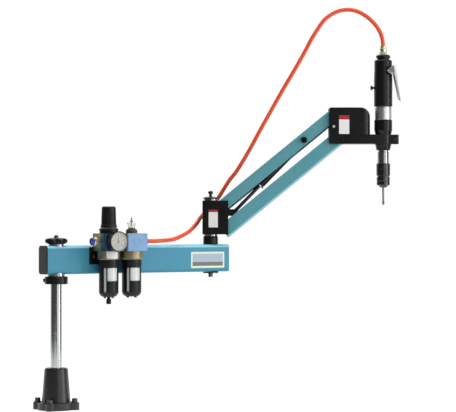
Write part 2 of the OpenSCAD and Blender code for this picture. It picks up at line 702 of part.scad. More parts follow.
module motor_cap() color("#1b1c1e") at_motor() translate([0, 0, grip_top]) {
    r = motor_cap_d / 2;
    turned([[0, 0], [r - 3, 0], [r - 3, cap_neck_h], [r - 1, cap_neck_h], [r, cap_neck_h + 1],
        [r, cap_neck_h + motor_cap_h - 3], [r - 3, cap_neck_h + motor_cap_h],
        [0, cap_neck_h + motor_cap_h]]);
}
module hose_tail() color("#cfd1d2") at_motor() translate([0, 0, tail_z]) {
    cylinder(d = 19 / cos(30), h = 9, $fn = 6);
    turned([[0, 9], [8, 9], [8, 11], [10.3, 12], [10.3, 19], [9, 20.5], [9, tail_l], [0, tail_l]]);
}
module trigger_lever() color("#dfe1e2") at_trigger() {
    top = [grip_d / 2 + 5, trigger_pin_z + 15];
    tip = [grip_d / 2 + 22.5, trigger_pin_z - 88];
    sheet = 2.5;
    half = trigger_half_w + trigger_cheek + 0.4;
    for (side = [-1, 1]) translate([0, side * (half - trigger_cheek / 2), 0])
        rotate([90, 0, 0]) linear_extrude(trigger_cheek, center = true) difference() {
            union() {
                polygon([[trigger_pin_r - 1.5, trigger_pin_z - 4.5], [trigger_pin_r - 3, trigger_pin_z + 3],
                    top, [top[0] + 5, trigger_pin_z - 8], [top[0] - 2, trigger_pin_z - 12]]);
                translate([trigger_pin_r, trigger_pin_z]) circle(r = 4.5);
            }
            translate([trigger_pin_r, trigger_pin_z]) circle(d = trigger_pin_d);
        }
    difference() {
        lever_sheet(top, tip, sheet, half);
        for (side = [-1, 1]) lever_side_cut(side, half);
    }
    translate([trigger_pin_r, 0, trigger_pin_z]) across(trigger_pin_d, 2 * half + 1.5);
}
module lever_sheet(top, tip, sheet, half) rotate([90, 0, 0])
    linear_extrude(2 * half, center = true) union() {
        polygon([top, [top[0] + sheet, top[1]], [tip[0] + sheet, tip[1]], tip]);
        translate([tip[0] + sheet / 2, tip[1]]) circle(d = sheet + 0.6);
    }
module lever_side_cut(side, half) {
    slim = half - 8;
    translate([0, side * half, 0]) scale([1, side, 1]) rotate([0, 90, 0])
        linear_extrude(200)
            polygon([[-trigger_pin_z + 14, 1], [-trigger_pin_z + 14, 0.01], [-trigger_pin_z + 42, -slim],
                [-trigger_pin_z + 120, -slim], [-trigger_pin_z + 120, 1]]);
}
module reverse_button() color("#1a1b1d") at_motor() translate([0, 0, button_z])
    rotate([0, -90, 0]) turned([[0, grip_d / 2 - 8], [button_d / 2, grip_d / 2 - 8],
        [button_d / 2, grip_d / 2 + button_out - 7], [6.5, grip_d / 2 + button_out - 6],
        [6.5, grip_d / 2 + button_out - 1.5], [5, grip_d / 2 + button_out], [0, grip_d / 2 + button_out]]);
module spindle() color("#d9dadb") at_motor()
    turned([[0, 0], [spindle_d / 2, 0], [spindle_d / 2, -nose_collar_h - face_gap],
        [15, -nose_collar_h - face_gap], [15, spindle_top], [spindle_sleeve_d / 2 - 1, spindle_top],
        [spindle_sleeve_d / 2, spindle_top - 1], [spindle_sleeve_d / 2, chuck_top], [0, chuck_top]]);
module chuck_body() color("#2a2a2b") at_motor() difference() {
    low = chuck_top - chuck_h;
    nose = low - chuck_travel - chuck_sleeve_h;
    turned([[0, chuck_top], [chuck_d / 2 - 1, chuck_top], [chuck_d / 2, chuck_top - 1],
        [chuck_d / 2, low + 1], [chuck_d / 2 - 1, low], [chuck_core_d / 2, low],
        [chuck_core_d / 2, nose + 1], [chuck_core_d / 2 - 1, nose], [8, nose - chuck_nose_h],
        [0, nose - chuck_nose_h]]);
    translate([0, 0, nose - chuck_nose_h - 1]) cylinder(d = tap_shank_d, h = 21);
}
module chuck_sleeve() color("#2c2c2d") at_motor()
    translate([0, 0, chuck_top - chuck_h - chuck_travel - chuck_sleeve_h]) {
        bore = chuck_core_d / 2 + running;
        r = chuck_sleeve_d / 2;
        turned([[bore, 0], [r - 1, 0], [r, 1], [r, 9], [r - 0.8, 10], [r - 0.8, 12], [r, 13],
            [r, chuck_sleeve_h - 1], [r - 1, chuck_sleeve_h], [bore, chuck_sleeve_h]]);
    }
module tap() color("#a9a48f") at_motor() {
    mouth = chuck_top - chuck_h - chuck_travel - chuck_sleeve_h - chuck_nose_h;
    end = mouth - tap_l;
    turned([[0, mouth + 20], [tap_shank_d / 2, mouth + 20], [tap_shank_d / 2, end + tap_thread_l + 1],
        [tap_d / 2, end + tap_thread_l], [tap_d / 2, end + 2.5], [tap_d / 2 - 1.8, end], [0, end]]);
}

// Air unit
module bracket_screw_places()
    for (x = bracket_screw_x) translate([x, -beam_w / 2, beam_z + beam_h * 0.62])
        rotate([-90, 0, 0]) children();
module unit_bracket() color("#1e1f21") {
    gap = unit_pitch - unit_w;
    spacer_front = unit_y - unit_front + 8;
    difference() {
        translate([bracket_end, -beam_w / 2 - bracket_t, bracket_low])
            cube([regulator_x + (unit_pitch + gap) / 2 - bracket_end, bracket_t, bracket_h]);
        bracket_screw_places() translate([0, 0, -bracket_t - 1]) cylinder(d = 5, h = bracket_t + 2);
    }
    translate([regulator_x + unit_w / 2, spacer_front, port_z - cover_low])
        cube([gap, -beam_w / 2 - spacer_front, cover_low + cover_high - 3]);
}
module unit_body(x) at_unit(x) {
    translate([0, 0, -neck_low]) turned([[0, 0], [unit_w / 2 - 3, 0], [unit_w / 2 - 1, 2],
        [unit_w / 2 - 1, neck_low - cover_low], [0, neck_low - cover_low]]);
    translate([-unit_w / 2, -unit_front + cover_t, -cover_low])
        cube([unit_w, unit_front - cover_t + unit_back, cover_low + cover_high]);
}
module unit_cover(x) at_unit(x) {
    low = -cover_low;
    h = cover_low + cover_high;
    difference() {
        translate([-unit_w / 2, -unit_front - 1.5, low]) linear_extrude(h)
            rounded_square(unit_w, 2 * cover_return + 5, 4);
        translate([-unit_w / 2 + 2, -unit_front + cover_t, low - 1])
            cube([unit_w - 4, unit_w, h + 2]);
        translate([-unit_w, -unit_front + cover_return, low - 1]) cube([2 * unit_w, unit_w, h + 2]);
    }
}
module unit_bodies() color("#b8ab86") for (x = [regulator_x, lubricator_x]) difference() {
    unit_body(x);
    cover_seat_cut(x);
}
module cover_seat_cut(x) at_unit(x)
    for (side = [-1, 1]) translate([side * unit_w / 2, -unit_front, 0])
        cube([4, 2 * cover_return, 2 * unit_w], center = true);
module regulator_cover() color("#2f6fb4") unit_cover(regulator_x);
module lubricator_cover() color("#86acdf") {
    unit_cover(lubricator_x);
    at_unit(lubricator_x) translate([-2, -unit_front - 1.4, 0]) rotate([90, 0, 0])
        turned([[8, 0], [8, 0.7], [9, 1.2], [11, 1.2], [12, 0.7], [12, 0]]);
}
module regulator_bonnet() color("#222326") at_unit(regulator_x) translate([0, 0, cover_high]) {
    turned([[0, 0], [26, 0], [26, bonnet_h], [27.5, bonnet_h], [27.5, bonnet_h + 4],
        [knob_d / 2 + 3, bonnet_h + 7], [0, bonnet_h + 7]]);
}
module regulator_knob() color("#232427") at_unit(regulator_x) translate([0, 0, knob_low]) {
    r = knob_d / 2;
    difference() {
        turned([[0, 0], [r + 2.5, 0], [r + 2.5, 8], [r + 0.7, 9.5], [r - 0.7, knob_h - 3],
            [r - 3.5, knob_h], [0, knob_h]]);
        for (i = [0 : 23]) rotate([0, 0, i * 15]) translate([r + 0.6, 0, 12])
            cylinder(r = 1.3, h = knob_h - 17, $fn = 16);
    }
}
module bowl_place() for (x = [regulator_x, lubricator_x]) at_unit(x) children();
module bowl_guards() color("#1d1e20") bowl_place() {
    r = guard_d / 2;
    in = r - guard_wall;
    difference() {
        turned([[0, guard_foot], [r - 12, guard_foot], [r - 6, guard_foot + 2.5],
            [r - 1.5, guard_foot + 8], [r, guard_foot + 14], [r, guard_top - 18], [r + 0.8, guard_top - 16],
            [r + 0.8, guard_top], [0, guard_top]]);
        turned([[0, guard_foot + 3], [in - 10, guard_foot + 3], [in - 5, guard_foot + 5.5],
            [in - 1.5, guard_foot + 10], [in, guard_foot + 15], [in, guard_top + 1], [0, guard_top + 1]]);
        guard_window(0, 33, guard_top - 60, guard_top - 23);
        for (turn = [-52, 52]) guard_window(turn, 8, guard_top - 92, guard_top - 23);
        for (turn = [128, 232]) guard_window(turn, 8, guard_top - 92, guard_top - 23);
        translate([0, 0, guard_foot - 1]) cylinder(d = 12, h = 6);
    }
    for (i = [0 : 3]) rotate([0, 0, 20 + 90 * i]) translate([r - 13.5, -2.5, guard_foot - 3])
        cube([3, 5, 4]);
}
module guard_window(turn, w, low, high) {
    corner = 2.5;
    rotate([0, 0, turn]) translate([-w / 2, 0, low]) rotate([90, 0, 0])
        linear_extrude(guard_d) rounded_square(w, high - low, corner);
}
module bowls() color([0.92, 0.94, 0.95, 0.6]) bowl_place() {
    r = guard_d / 2 - guard_wall - bowl_gap;
    in = r - bowl_wall;
    foot = guard_foot + 4;
    turned([[6.5, foot], [r - 11, foot], [r - 6, foot + 2.2], [r - 1.8, foot + 7], [r, foot + 13],
        [r, guard_top], [in, guard_top], [in, foot + 13], [in - 2, foot + 9], [in - 6, foot + 4.6],
        [in - 10, foot + 2.4], [6.5, foot + 2.4]]);
}
module drain_valve() color("#26272a") at_unit(regulator_x) {
    turned([[0, guard_foot - 20], [5.5, guard_foot - 20], [7, guard_foot - 18.5],
        [7, guard_foot - 6], [4.5, guard_foot - 5], [4.5, guard_foot + 6.5], [0, guard_foot + 6.5]]);
}
module oil_ring() color("#4a4636") at_unit(lubricator_x) translate([0, 0, cover_high])
    turned([[0, 0], [16.5, 0], [16.5, 6], [14, 12], [11, 12], [11, 6], [0, 6]]);
module sight_dome() color([0.85, 0.87, 0.84, 0.6]) at_unit(lubricator_x) translate([0, 0, cover_high + 6])
    turned([[2 + running, 0], [11, 0], [11, 6], [9.5, 10], [9.5, 13], [12.5, 21], [12.5, 24],
        [2 + running, 24]]);
module oil_adjuster() color("#b9bab8") at_unit(lubricator_x) translate([0, 0, cover_high + 7])
    turned([[0, 0], [2, 0], [2, 24], [4, 24], [4, 29], [2.2, 30], [1.2, 39], [0, 40]]);
module at_gauge() at_unit(regulator_x) translate([0, -unit_front - 1.5 - gauge_stand, 0])
    rotate([90, 0, 0]) children();
module gauge_case() color("#1b1c1f") at_gauge() {
    r = gauge_d / 2;
    turned([[0, 0], [r - 3, 0], [r - 1, 2], [r - 1, gauge_depth - 6], [r, gauge_depth - 5],
        [r, gauge_depth - 1], [r - 1, gauge_depth], [r - 3, gauge_depth], [r - 3, gauge_depth - 7],
        [0, gauge_depth - 7]]);
    translate([0, 0, -gauge_stand]) cylinder(d = 16 / cos(30), h = gauge_stand, $fn = 6);
}
module gauge_dial() color("#f2f2ee") at_gauge() translate([0, 0, gauge_depth - 7]) difference() {
    cylinder(r = gauge_d / 2 - 3, h = 1);
    translate([0, 0, -1]) cylinder(r = 1.5 + running, h = 3);
}
module gauge_needle() color("#b0301f") at_gauge() translate([0, 0, gauge_depth - 7]) {
    cylinder(r = 1.5, h = 2.4);
    translate([0, 0, 1 + face_gap]) {
        cylinder(r = 3, h = 1.1);
        rotate([0, 0, 90]) linear_extrude(0.8) polygon([[-6, -1.2], [-6, 1.2],
            [gauge_d / 2 - 8, 0.3], [gauge_d / 2 - 8, -0.3]]);
    }
}
module inlet_place() at_unit(regulator_x) translate([-unit_w / 2, 0, 0]) rotate([0, -90, 0]) children();
module outlet_place() at_unit(lubricator_x) translate([unit_w / 2, 0, 0]) rotate([0, 90, 0]) children();
module port_fitting(hex_h) difference() {
    union() {
        cylinder(d = fitting_flats / cos(30), h = hex_h, $fn = 6);
        turned([[0, hex_h], [10, hex_h], [10, hex_h + fitting_lip - 1], [9, hex_h + fitting_lip],
            [0, hex_h + fitting_lip]]);
    }
    translate([0, 0, 4]) cylinder(d = hose_d, h = hex_h + fitting_lip);
}
module port_fittings() color("#c7c4b4") {
    inlet_place() port_fitting(inlet_hex_h);
    outlet_place() port_fitting(outlet_hex_h);
}
module release_collar(hex_h) translate([0, 0, hex_h + fitting_lip + collar_travel]) {
    bore = hose_d / 2 + running;
    turned([[bore, 0], [10, 0], [10.5, 0.8], [10.5, collar_l - 1.5], [9, collar_l],
        [bore + 1, collar_l], [bore, collar_l - 1]]);
}
module inlet_collar() color("#2a4fb0") inlet_place() release_collar(inlet_hex_h);
module outlet_collar() color("#2a4fb0") outlet_place() release_collar(outlet_hex_h);

// Hose
function spline_point(p, i, t) =
    let (a = p[max(i - 1, 0)], b = p[i], c = p[i + 1], d = p[min(i + 2, len(p) - 1)])
    0.5 * (2 * b + (c - a) * t + (2 * a - 5 * b + 4 * c - d) * t * t
        + (3 * b - a - 3 * c + d) * t * t * t);
function smooth_route(p) = concat([for (i = [0 : len(p) - 2]) each [spline_point(p, i, 0),
    spline_point(p, i, 0.5)]], [p[len(p) - 1]]);
function unit(v) = v / norm(v);
function heading(p, i, first, last) =
    i == 0 ? first : i == len(p) - 1 ? last : unit(p[i + 1] - p[i - 1]);
function ring_at(c, dir, r, sides) = let (
        side = unit(cross(dir, [sin(arm_turn), cos(arm_turn), 0])),
        up = cross(side, dir))
    [for (k = [0 : sides - 1]) c + r * (cos(360 * k / sides) * side + sin(360 * k / sides) * up)];
// A length of hose, whose ends are square to the directions first and last
module hose(route, first, last) {
    sides = 10;
    line = smooth_route(route);
    n = len(line);
    points = [for (i = [0 : n - 1]) each ring_at(line[i], heading(line, i, first, last), hose_d / 2,
            sides)];
    walls = [for (i = [0 : n - 2], k = [0 : sides - 1]) let (k2 = (k + 1) % sides)
        each [[i * sides + k, i * sides + k2, (i + 1) * sides + k2],
            [i * sides + k, (i + 1) * sides + k2, (i + 1) * sides + k]]];
    color("#e15a3c") polyhedron(points, concat(
        [[for (k = [sides - 1 : -1 : 0]) k]], walls, [[for (k = [0 : sides - 1]) (n - 1) * sides + k]]));
}
function joint_heading(before, after) = unit(after[1] - before[len(before) - 2]);
module hose_lower() hose(hose_lower_route, [1, 0, 0], joint_heading(hose_lower_route, hose_rise_route));
module hose_rise() hose(hose_rise_route, joint_heading(hose_lower_route, hose_rise_route),
    joint_heading(hose_rise_route, hose_loop_route));
module hose_loop() hose(hose_loop_route, joint_heading(hose_rise_route, hose_loop_route), [0, 0, -1]);

foot();
foot_bolts();
column();
height_collar();
column_screws();
lock_knob();
beam_tube();
beam_end_plug();
beam_sleeves();
column_bushes();
elbow_shaft();
elbow_bearing();
elbow_top_cap();
beam_screws();
elbow_block();
elbow_rings();
elbow_pins();
elbow_lock_screw();
upper_arm();
spring_bolt();
lower_arm();
spring_cylinder();
spring_rod();
head_housing();
clamp_bar();
head_pins();
head_screws();
motor_neck();
nose_collar();
motor_band();
motor_grip();
motor_cap();
hose_tail();
trigger_lever();
reverse_button();
spindle();
chuck_body();
chuck_sleeve();
tap();
unit_bracket();
unit_bodies();
regulator_cover();
regulator_bonnet();
regulator_knob();
lubricator_cover();
oil_ring();
sight_dome();
oil_adjuster();
bowl_guards();
bowls();
drain_valve();
gauge_case();
gauge_dial();
gauge_needle();
port_fittings();
inlet_collar();
outlet_collar();
hose_lower();
hose_rise();
hose_loop();
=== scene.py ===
"""Looks of the arm tapping machine: its finishes, its hose, and the detail on its rigid pieces."""

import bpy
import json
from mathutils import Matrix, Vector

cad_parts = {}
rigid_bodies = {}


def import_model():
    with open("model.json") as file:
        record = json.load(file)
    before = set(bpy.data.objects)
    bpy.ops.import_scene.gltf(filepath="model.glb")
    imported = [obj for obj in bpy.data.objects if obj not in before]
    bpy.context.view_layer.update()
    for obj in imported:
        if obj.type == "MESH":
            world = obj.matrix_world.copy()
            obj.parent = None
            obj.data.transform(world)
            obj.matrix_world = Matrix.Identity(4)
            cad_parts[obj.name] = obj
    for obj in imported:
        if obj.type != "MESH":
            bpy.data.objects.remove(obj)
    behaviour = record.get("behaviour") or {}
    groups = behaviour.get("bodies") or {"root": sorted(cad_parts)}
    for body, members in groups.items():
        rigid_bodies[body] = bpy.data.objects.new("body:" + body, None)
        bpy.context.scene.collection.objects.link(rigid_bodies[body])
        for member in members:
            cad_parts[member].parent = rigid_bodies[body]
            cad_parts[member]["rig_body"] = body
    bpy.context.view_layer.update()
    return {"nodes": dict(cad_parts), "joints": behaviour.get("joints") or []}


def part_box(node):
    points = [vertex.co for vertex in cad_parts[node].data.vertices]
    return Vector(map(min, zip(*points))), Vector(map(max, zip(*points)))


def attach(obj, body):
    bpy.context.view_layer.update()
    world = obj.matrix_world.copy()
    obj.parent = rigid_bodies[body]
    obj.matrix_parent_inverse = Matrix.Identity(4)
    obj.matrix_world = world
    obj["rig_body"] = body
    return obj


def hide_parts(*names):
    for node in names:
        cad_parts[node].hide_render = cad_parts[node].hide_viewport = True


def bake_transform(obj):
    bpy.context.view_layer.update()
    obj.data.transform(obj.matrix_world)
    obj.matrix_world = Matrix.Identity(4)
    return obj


bl_info = {
    "name": "Arm Tapping Machine",
    "version": (1, 0, 0),
    "blender": (4, 5, 0),
    "location": "View3D > Sidebar > Tapping",
    "description": "Dresses the packed model of an arm tapping machine",
    "category": "Object",
}

import json
import math

import bmesh
import bpy
from bpy.props import FloatProperty, FloatVectorProperty, IntProperty, PointerProperty
from mathutils import Matrix, Vector

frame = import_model()
JOINTS = {joint["name"]: joint for joint in frame["joints"]}

MM = 0.001
UP = Vector((0, 0, 1))
WELD = 1e-6                         # corners closer than this are one corner
FLAT = math.radians(0.5)
SHARP = math.radians(32)
FINE_EDGE = 0.3 * MM                # rounding of ribs and knurls
PIN_EDGE = 0.15 * MM                # rounding of the pivot pins' ends
NOISE_LOW, NOISE_HIGH = 0.3, 0.7    # where nearly all of a noise's values are
SECOND, THIRD = 1, 2                # a piece's second and third material

# ------------------------ frames


def joint_point(name):
    """Where a joint's axis stands in the row frame."""
    return Vector(JOINTS[name]["pos_m"])


def joint_axis(name):
    """A joint's axis as a unit vector."""
    return Vector(JOINTS[name]["axis"]).normalized()


def basis(origin, along, up):
    """A frame at origin with its X along one direction and its Z near another."""
    x = along.normalized()
    y = up.cross(x).normalized()
    z = x.cross(y)
    return Matrix.Translation(origin) @ Matrix((x, y, z)).transposed().to_4x4()


ARM_BACK = -joint_axis("arm_lift")                       # across the arms, away from their front
ARM_OUT = ARM_BACK.cross(UP)                             # level, from the elbow to the head
ELBOW = basis(Vector((*joint_point("elbow_swivel")[:2], 0)), ARM_OUT, UP)
HEAD = basis(Vector((*joint_point("head_level")[:2], 0)), ARM_OUT, UP)
MOTOR = basis(Vector((*joint_point("spindle_turn")[:2], 0)), ARM_OUT, UP)
REGULATOR = Matrix.Translation(Vector((*joint_point("regulator_turn")[:2], 0)))
FACING = Matrix.Rotation(math.radians(90), 4, "X")       # a plate's face turned from up to front

# ------------------------ settings


def linear(hex_colour):
    """An sRGB hex colour as linear red, green and blue."""
    parts = [int(hex_colour[i:i + 2], 16) / 255 for i in (1, 3, 5)]
    return tuple(c / 12.92 if c <= 0.04045 else ((c + 0.055) / 1.055) ** 2.4 for c in parts)


def colour(name, description, hex_colour):
    """A colour property whose default is an sRGB hex value."""
    return FloatVectorProperty(name=name, description=description, subtype="COLOR", size=3,
                               min=0, max=1, default=linear(hex_colour))


def length(name, description, default):
    """A length property in metres."""
    return FloatProperty(name=name, description=description, default=default, unit="LENGTH",
                         precision=5, min=0)


def power(name, description, default):
    """A lamp's power property in watts."""
    return FloatProperty(name=name, description=description, default=default, unit="POWER",
                         min=0)


class MachineColours(bpy.types.PropertyGroup):
    """Colours of the machine's finishes"""

    beam: colour("Beam", "Powder coat of the beam", "#3f8faa")
    arms: colour("Arms", "Powder coat of the two arms", "#5798a3")
    casting: colour("Castings", "Black paint of the foot, elbow and head", "#0f1010")
    plastic: colour("Plastic", "Black moulded plastic", "#0f1011")
    steel: colour("Steel", "Turned and ground steel", "#c0c2c3")
    dark_steel: colour("Dark steel", "Blackened screws, pins and chuck", "#4b4b49")
    regulator_cover: colour("Regulator cover", "Cover of the regulator", "#1b3c57")
    lubricator_cover: colour("Lubricator cover", "Cover of the lubricator", "#7aa1cb")
    unit_alloy: colour("Air unit", "Passivated casting of the air unit", "#9c9478")
    collar: colour("Release collars", "Blue collars of the push-in fittings", "#2346b0")
    hose: colour("Hose", "Polyurethane air hose", "#e8512c")
    label_red: colour("Label header", "Header strip of the two labels", "#a8272e")
    plate_edge: colour("Nameplate", "Border of the nameplate", "#dfead0")


class MachineSizes(bpy.types.PropertyGroup):
    """Sizes of the detail that the scene adds"""

    cast_edge: length("Cast edges", "Rounding of painted castings", 1.2 * MM)
    cut_edge: length("Cut edges", "Rounding of turned and milled pieces", 0.4 * MM)
    hose_d: length("Hose", "Outer diameter of the air hose", 12 * MM)
    label_t: length("Labels", "Thickness of a label", 0.25 * MM)
    plate_w: length("Nameplate width", "Width of the beam's nameplate", 115 * MM)
    plate_h: length("Nameplate height", "Height of the beam's nameplate", 47 * MM)
    dial_marks: IntProperty(name="Dial marks", description="Marks round the gauge's dial",
                            default=50, min=10, max=100)


class MachineStage(bpy.types.PropertyGroup):
    """The camera and the lamps"""

    camera_at: FloatVectorProperty(name="Camera", description="Where the camera stands",
                                   subtype="TRANSLATION", unit="LENGTH", size=3,
                                   default=(-2.386, -4.556, 0.529))
    camera_azimuth: FloatProperty(name="Azimuth", description="Turn of the camera's view from +Y",
                                  subtype="ANGLE", default=math.radians(33))
    camera_pitch: FloatProperty(name="Pitch", description="Tilt of the camera's view upwards",
                                subtype="ANGLE", default=math.radians(0.44))
    lens: FloatProperty(name="Lens", description="Focal length in millimetres on a 36 mm sensor",
                        default=144.5, min=10)
    side_lamp: power("Side lamp", "Power of the wide lamp on the right", 46)
    strip_lamp: power("Strip lamp", "Power of the narrow lamp on the right", 24)
    top_lamp: power("Top lamp", "Power of the lamp overhead", 46)
    ambient: FloatProperty(name="Ambient", description="Strength of the room's own light",
                           default=0.62, min=0)


# ------------------------ material tools


def add(tree, kind, settings=None, values=None, links=None):
    """Adds a shader node with its settings, socket values and links."""
    node = tree.nodes.new("ShaderNode" + kind)
    for name, value in (settings or {}).items():
        setattr(node, name, value)
    for socket, value in (values or {}).items():
        node.inputs[socket].default_value = value
    for socket, source in (links or {}).items():
        tree.links.new(source, node.inputs[socket])
    return node


def new_finish(name, base, roughness, metallic=0.0, **values):
    """A material with its constants on its shader.

    Returns the material, its tree, its shader and a texture's link to Object coordinates.
    """
    material = bpy.data.materials.new(name)
    material.use_nodes = True
    tree = material.node_tree
    shader = tree.nodes["Principled BSDF"]
    shader.inputs["Base Color"].default_value = (*base, 1)
    shader.inputs["Roughness"].default_value = roughness
    shader.inputs["Metallic"].default_value = metallic
    for socket, value in values.items():
        shader.inputs[socket.replace("_", " ")].default_value = value
    return material, tree, shader, {"Vector": add(tree, "TexCoord").outputs["Object"]}


def grain(size):
    """The scale at which a noise's features are about one size across, in metres."""
    return 0.5 / size


def weather(tree, shader, tone=None, hue=None, gloss=None, relief=None):
    """Varies a shader by noises.

    tone, hue and gloss are (noise, low, high), for the brightness and the hue of its colour and
    for its roughness, and relief is (noise, strength, distance in metres).
    """
    levels = {}
    for socket, layer in (("Value", tone), ("Hue", hue), ("Roughness", gloss)):
        if layer:
            noise, low, high = layer
            level = add(tree, "MapRange", links={"Value": noise.outputs["Fac"]}, values={
                "From Min": NOISE_LOW, "From Max": NOISE_HIGH, "To Min": low, "To Max": high})
            levels[socket] = level.outputs["Result"]
    if gloss:
        tree.links.new(levels.pop("Roughness"), shader.inputs["Roughness"])
    if levels:
        base = shader.inputs["Base Color"]
        tint = add(tree, "HueSaturation", values={"Color": base.default_value[:]}, links=levels)
        tree.links.new(tint.outputs["Color"], base)
    if relief:
        noise, strength, distance = relief
        bump = add(tree, "Bump", values={"Strength": strength, "Distance": distance},
                   links={"Height": noise.outputs["Fac"]})
        tree.links.new(bump.outputs["Normal"], shader.inputs["Normal"])


def shade(rgb, factor):
    """A colour made darker or lighter."""
    return tuple(min(1.0, c * factor) for c in rgb)


# ------------------------ materials


def powder_coat(name, base):
    """Powder coat on steel: baked satin paint, whose orange peel softens each reflection."""
    material, tree, shader, placed = new_finish(name, base, 0.44, Specular_IOR_Level=0.35)
    peel = add(tree, "TexNoise", values={"Scale": grain(1.8 * MM), "Detail": 1}, links=placed)
    cloud = add(tree, "TexNoise", values={"Scale": grain(80 * MM), "Detail": 3}, links=placed)
    weather(tree, shader, tone=(cloud, 0.95, 1.04), gloss=(cloud, 0.4, 0.5),
            relief=(peel, 0.5, 0.02 * MM))
    return material


def painted_shade_coat(name, base):
    """Painted shade inside a fold: a dark matt grey standing in for shadow, with a dusting of
    blue.
    """
    material, tree, shader, placed = new_finish(name, base, 0.7, Specular_IOR_Level=0.25)
    dust = add(tree, "TexNoise", values={"Scale": grain(7 * MM), "Detail": 4}, links=placed)
    weather(tree, shader, tone=(dust, 0.8, 1.3))
    return material


def cast_enamel(name, base, gloss=0.3):
    """Black enamel sprayed on cast iron: the sand grain shows through as a soft mottle."""
    material, tree, shader, placed = new_finish(name, base, 0.3, Specular_IOR_Level=gloss)
    sand = add(tree, "TexNoise", values={"Scale": grain(1.3 * MM), "Detail": 4}, links=placed)
    cloud = add(tree, "TexNoise", values={"Scale": grain(26 * MM), "Detail": 3}, links=placed)
    weather(tree, shader, tone=(cloud, 0.8, 1.3), gloss=(sand, 0.26, 0.38),
            relief=(sand, 0.5, 0.07 * MM))
    return material


def rubbed_enamel(name, base):
    """Enamel along an edge that hands and tools have rubbed: thinner, paler and patchy."""
    material, tree, shader, placed = new_finish(name, base, 0.5, Specular_IOR_Level=0.4)
    rub = add(tree, "TexNoise", values={"Scale": grain(5 * MM), "Detail": 5}, links=placed)
    weather(tree, shader, tone=(rub, 0.5, 1.9))
    return material


def black_anodise(name, base):
    """Black anodised aluminium: even and satin, with the turning marks faint under it."""
    material, tree, shader, placed = new_finish(name, base, 0.28, Specular_IOR_Level=0.3)
    along = add(tree, "Mapping", values={"Scale": (0.05, 0.05, 1)}, links=placed)
    rings = add(tree, "TexNoise", values={"Scale": grain(0.9 * MM), "Detail": 2},
                links={"Vector": along.outputs["Vector"]})
    weather(tree, shader, gloss=(rings, 0.22, 0.34), relief=(rings, 0.3, 0.01 * MM))
    return material


def moulded_nylon(name, base):
    """Moulded nylon: spark-eroded mould texture, drawn twice as coarse so that it shows."""
    material, tree, shader, placed = new_finish(name, base, 0.34, Specular_IOR_Level=0.32)
    spark = add(tree, "TexNoise", values={"Scale": grain(0.9 * MM), "Detail": 3}, links=placed)
    wipe = add(tree, "TexNoise", values={"Scale": grain(22 * MM), "Detail": 3}, links=placed)
    weather(tree, shader, tone=(wipe, 0.85, 1.2), gloss=(spark, 0.28, 0.42),
            relief=(spark, 0.5, 0.05 * MM))
    return material


def hard_chrome(name, base):
    """Hard chrome on a ground bar: mirror-bright, with a faint band from each grinding pass."""
    material, tree, shader, placed = new_finish(name, base, 0.12, metallic=1.0)
    along = add(tree, "Mapping", values={"Scale": (0.04, 0.04, 1)}, links=placed)
    passes = add(tree, "TexNoise", values={"Scale": grain(4 * MM), "Detail": 3},
                 links={"Vector": along.outputs["Vector"]})
    weather(tree, shader, gloss=(passes, 0.1, 0.14))
    return material


def turned_metal(name, base, roughness=0.27):
    """Turned steel or aluminium: fine lathe rings that catch the light as soft bands."""
    material, tree, shader, placed = new_finish(name, base, roughness, metallic=1.0)
    along = add(tree, "Mapping", values={"Scale": (0.03, 0.03, 1)}, links=placed)
    rings = add(tree, "TexNoise", values={"Scale": grain(1.1 * MM), "Detail": 2},
                links={"Vector": along.outputs["Vector"]})
    weather(tree, shader, gloss=(rings, roughness - 0.05, roughness + 0.07))
    return material


def blackened_steel(name, base):
    """Oil-blackened steel: a dark conversion layer with a dull metal sheen, paler where rubbed."""
    material, tree, shader, placed = new_finish(name, base, 0.3, metallic=1.0)
    wear = add(tree, "TexNoise", values={"Scale": grain(6 * MM), "Detail": 5}, links=placed)
    weather(tree, shader, tone=(wear, 0.75, 1.35), gloss=(wear, 0.24, 0.38))
    return material


def passivated_casting(name, base):
    """Yellow-passivated zinc casting: warm dark metal with iridescent clouds and a fine grain."""
    material, tree, shader, placed = new_finish(name, base, 0.36, metallic=0.9)
    cloud = add(tree, "TexNoise", values={"Scale": grain(12 * MM), "Detail": 4}, links=placed)
    skin = add(tree, "TexNoise", values={"Scale": grain(0.9 * MM), "Detail": 3}, links=placed)
    weather(tree, shader, tone=(cloud, 0.75, 1.2), hue=(cloud, 0.47, 0.53),
            gloss=(skin, 0.3, 0.46), relief=(skin, 0.3, 0.04 * MM))
    return material


def glossy_abs(name, base):
    """Polished ABS: clear bright reflections over an even colour, slightly wavy from moulding."""
    material, tree, shader, placed = new_finish(name, base, 0.24, Specular_IOR_Level=0.45)
    flow = add(tree, "TexNoise", values={"Scale": grain(14 * MM), "Detail": 2}, links=placed)
    weather(tree, shader, tone=(flow, 0.94, 1.06), relief=(flow, 0.2, 0.04 * MM))
    return material


def clear_polycarbonate(name, base, transmission, roughness):
    """Polycarbonate: clear plastic that bends what is behind it and glints at its edges."""
    material, tree, shader, placed = new_finish(name, base, roughness, IOR=1.58,
                                               Transmission_Weight=transmission)
    haze = add(tree, "TexNoise", values={"Scale": grain(9 * MM), "Detail": 3}, links=placed)
    weather(tree, shader, gloss=(haze, roughness, roughness + 0.08))
    return material


def polyurethane(name, base):
    """Extruded polyurethane tube: a deep colour under a smooth skin that glows a little."""
    material, tree, shader, placed = new_finish(name, base, 0.3, Specular_IOR_Level=0.38,
                                               Subsurface_Weight=0.06, Subsurface_Scale=0.004)
    draw = add(tree, "TexNoise", values={"Scale": grain(6 * MM), "Detail": 3}, links=placed)
    weather(tree, shader, tone=(draw, 0.94, 1.05), gloss=(draw, 0.26, 0.38))
    return material


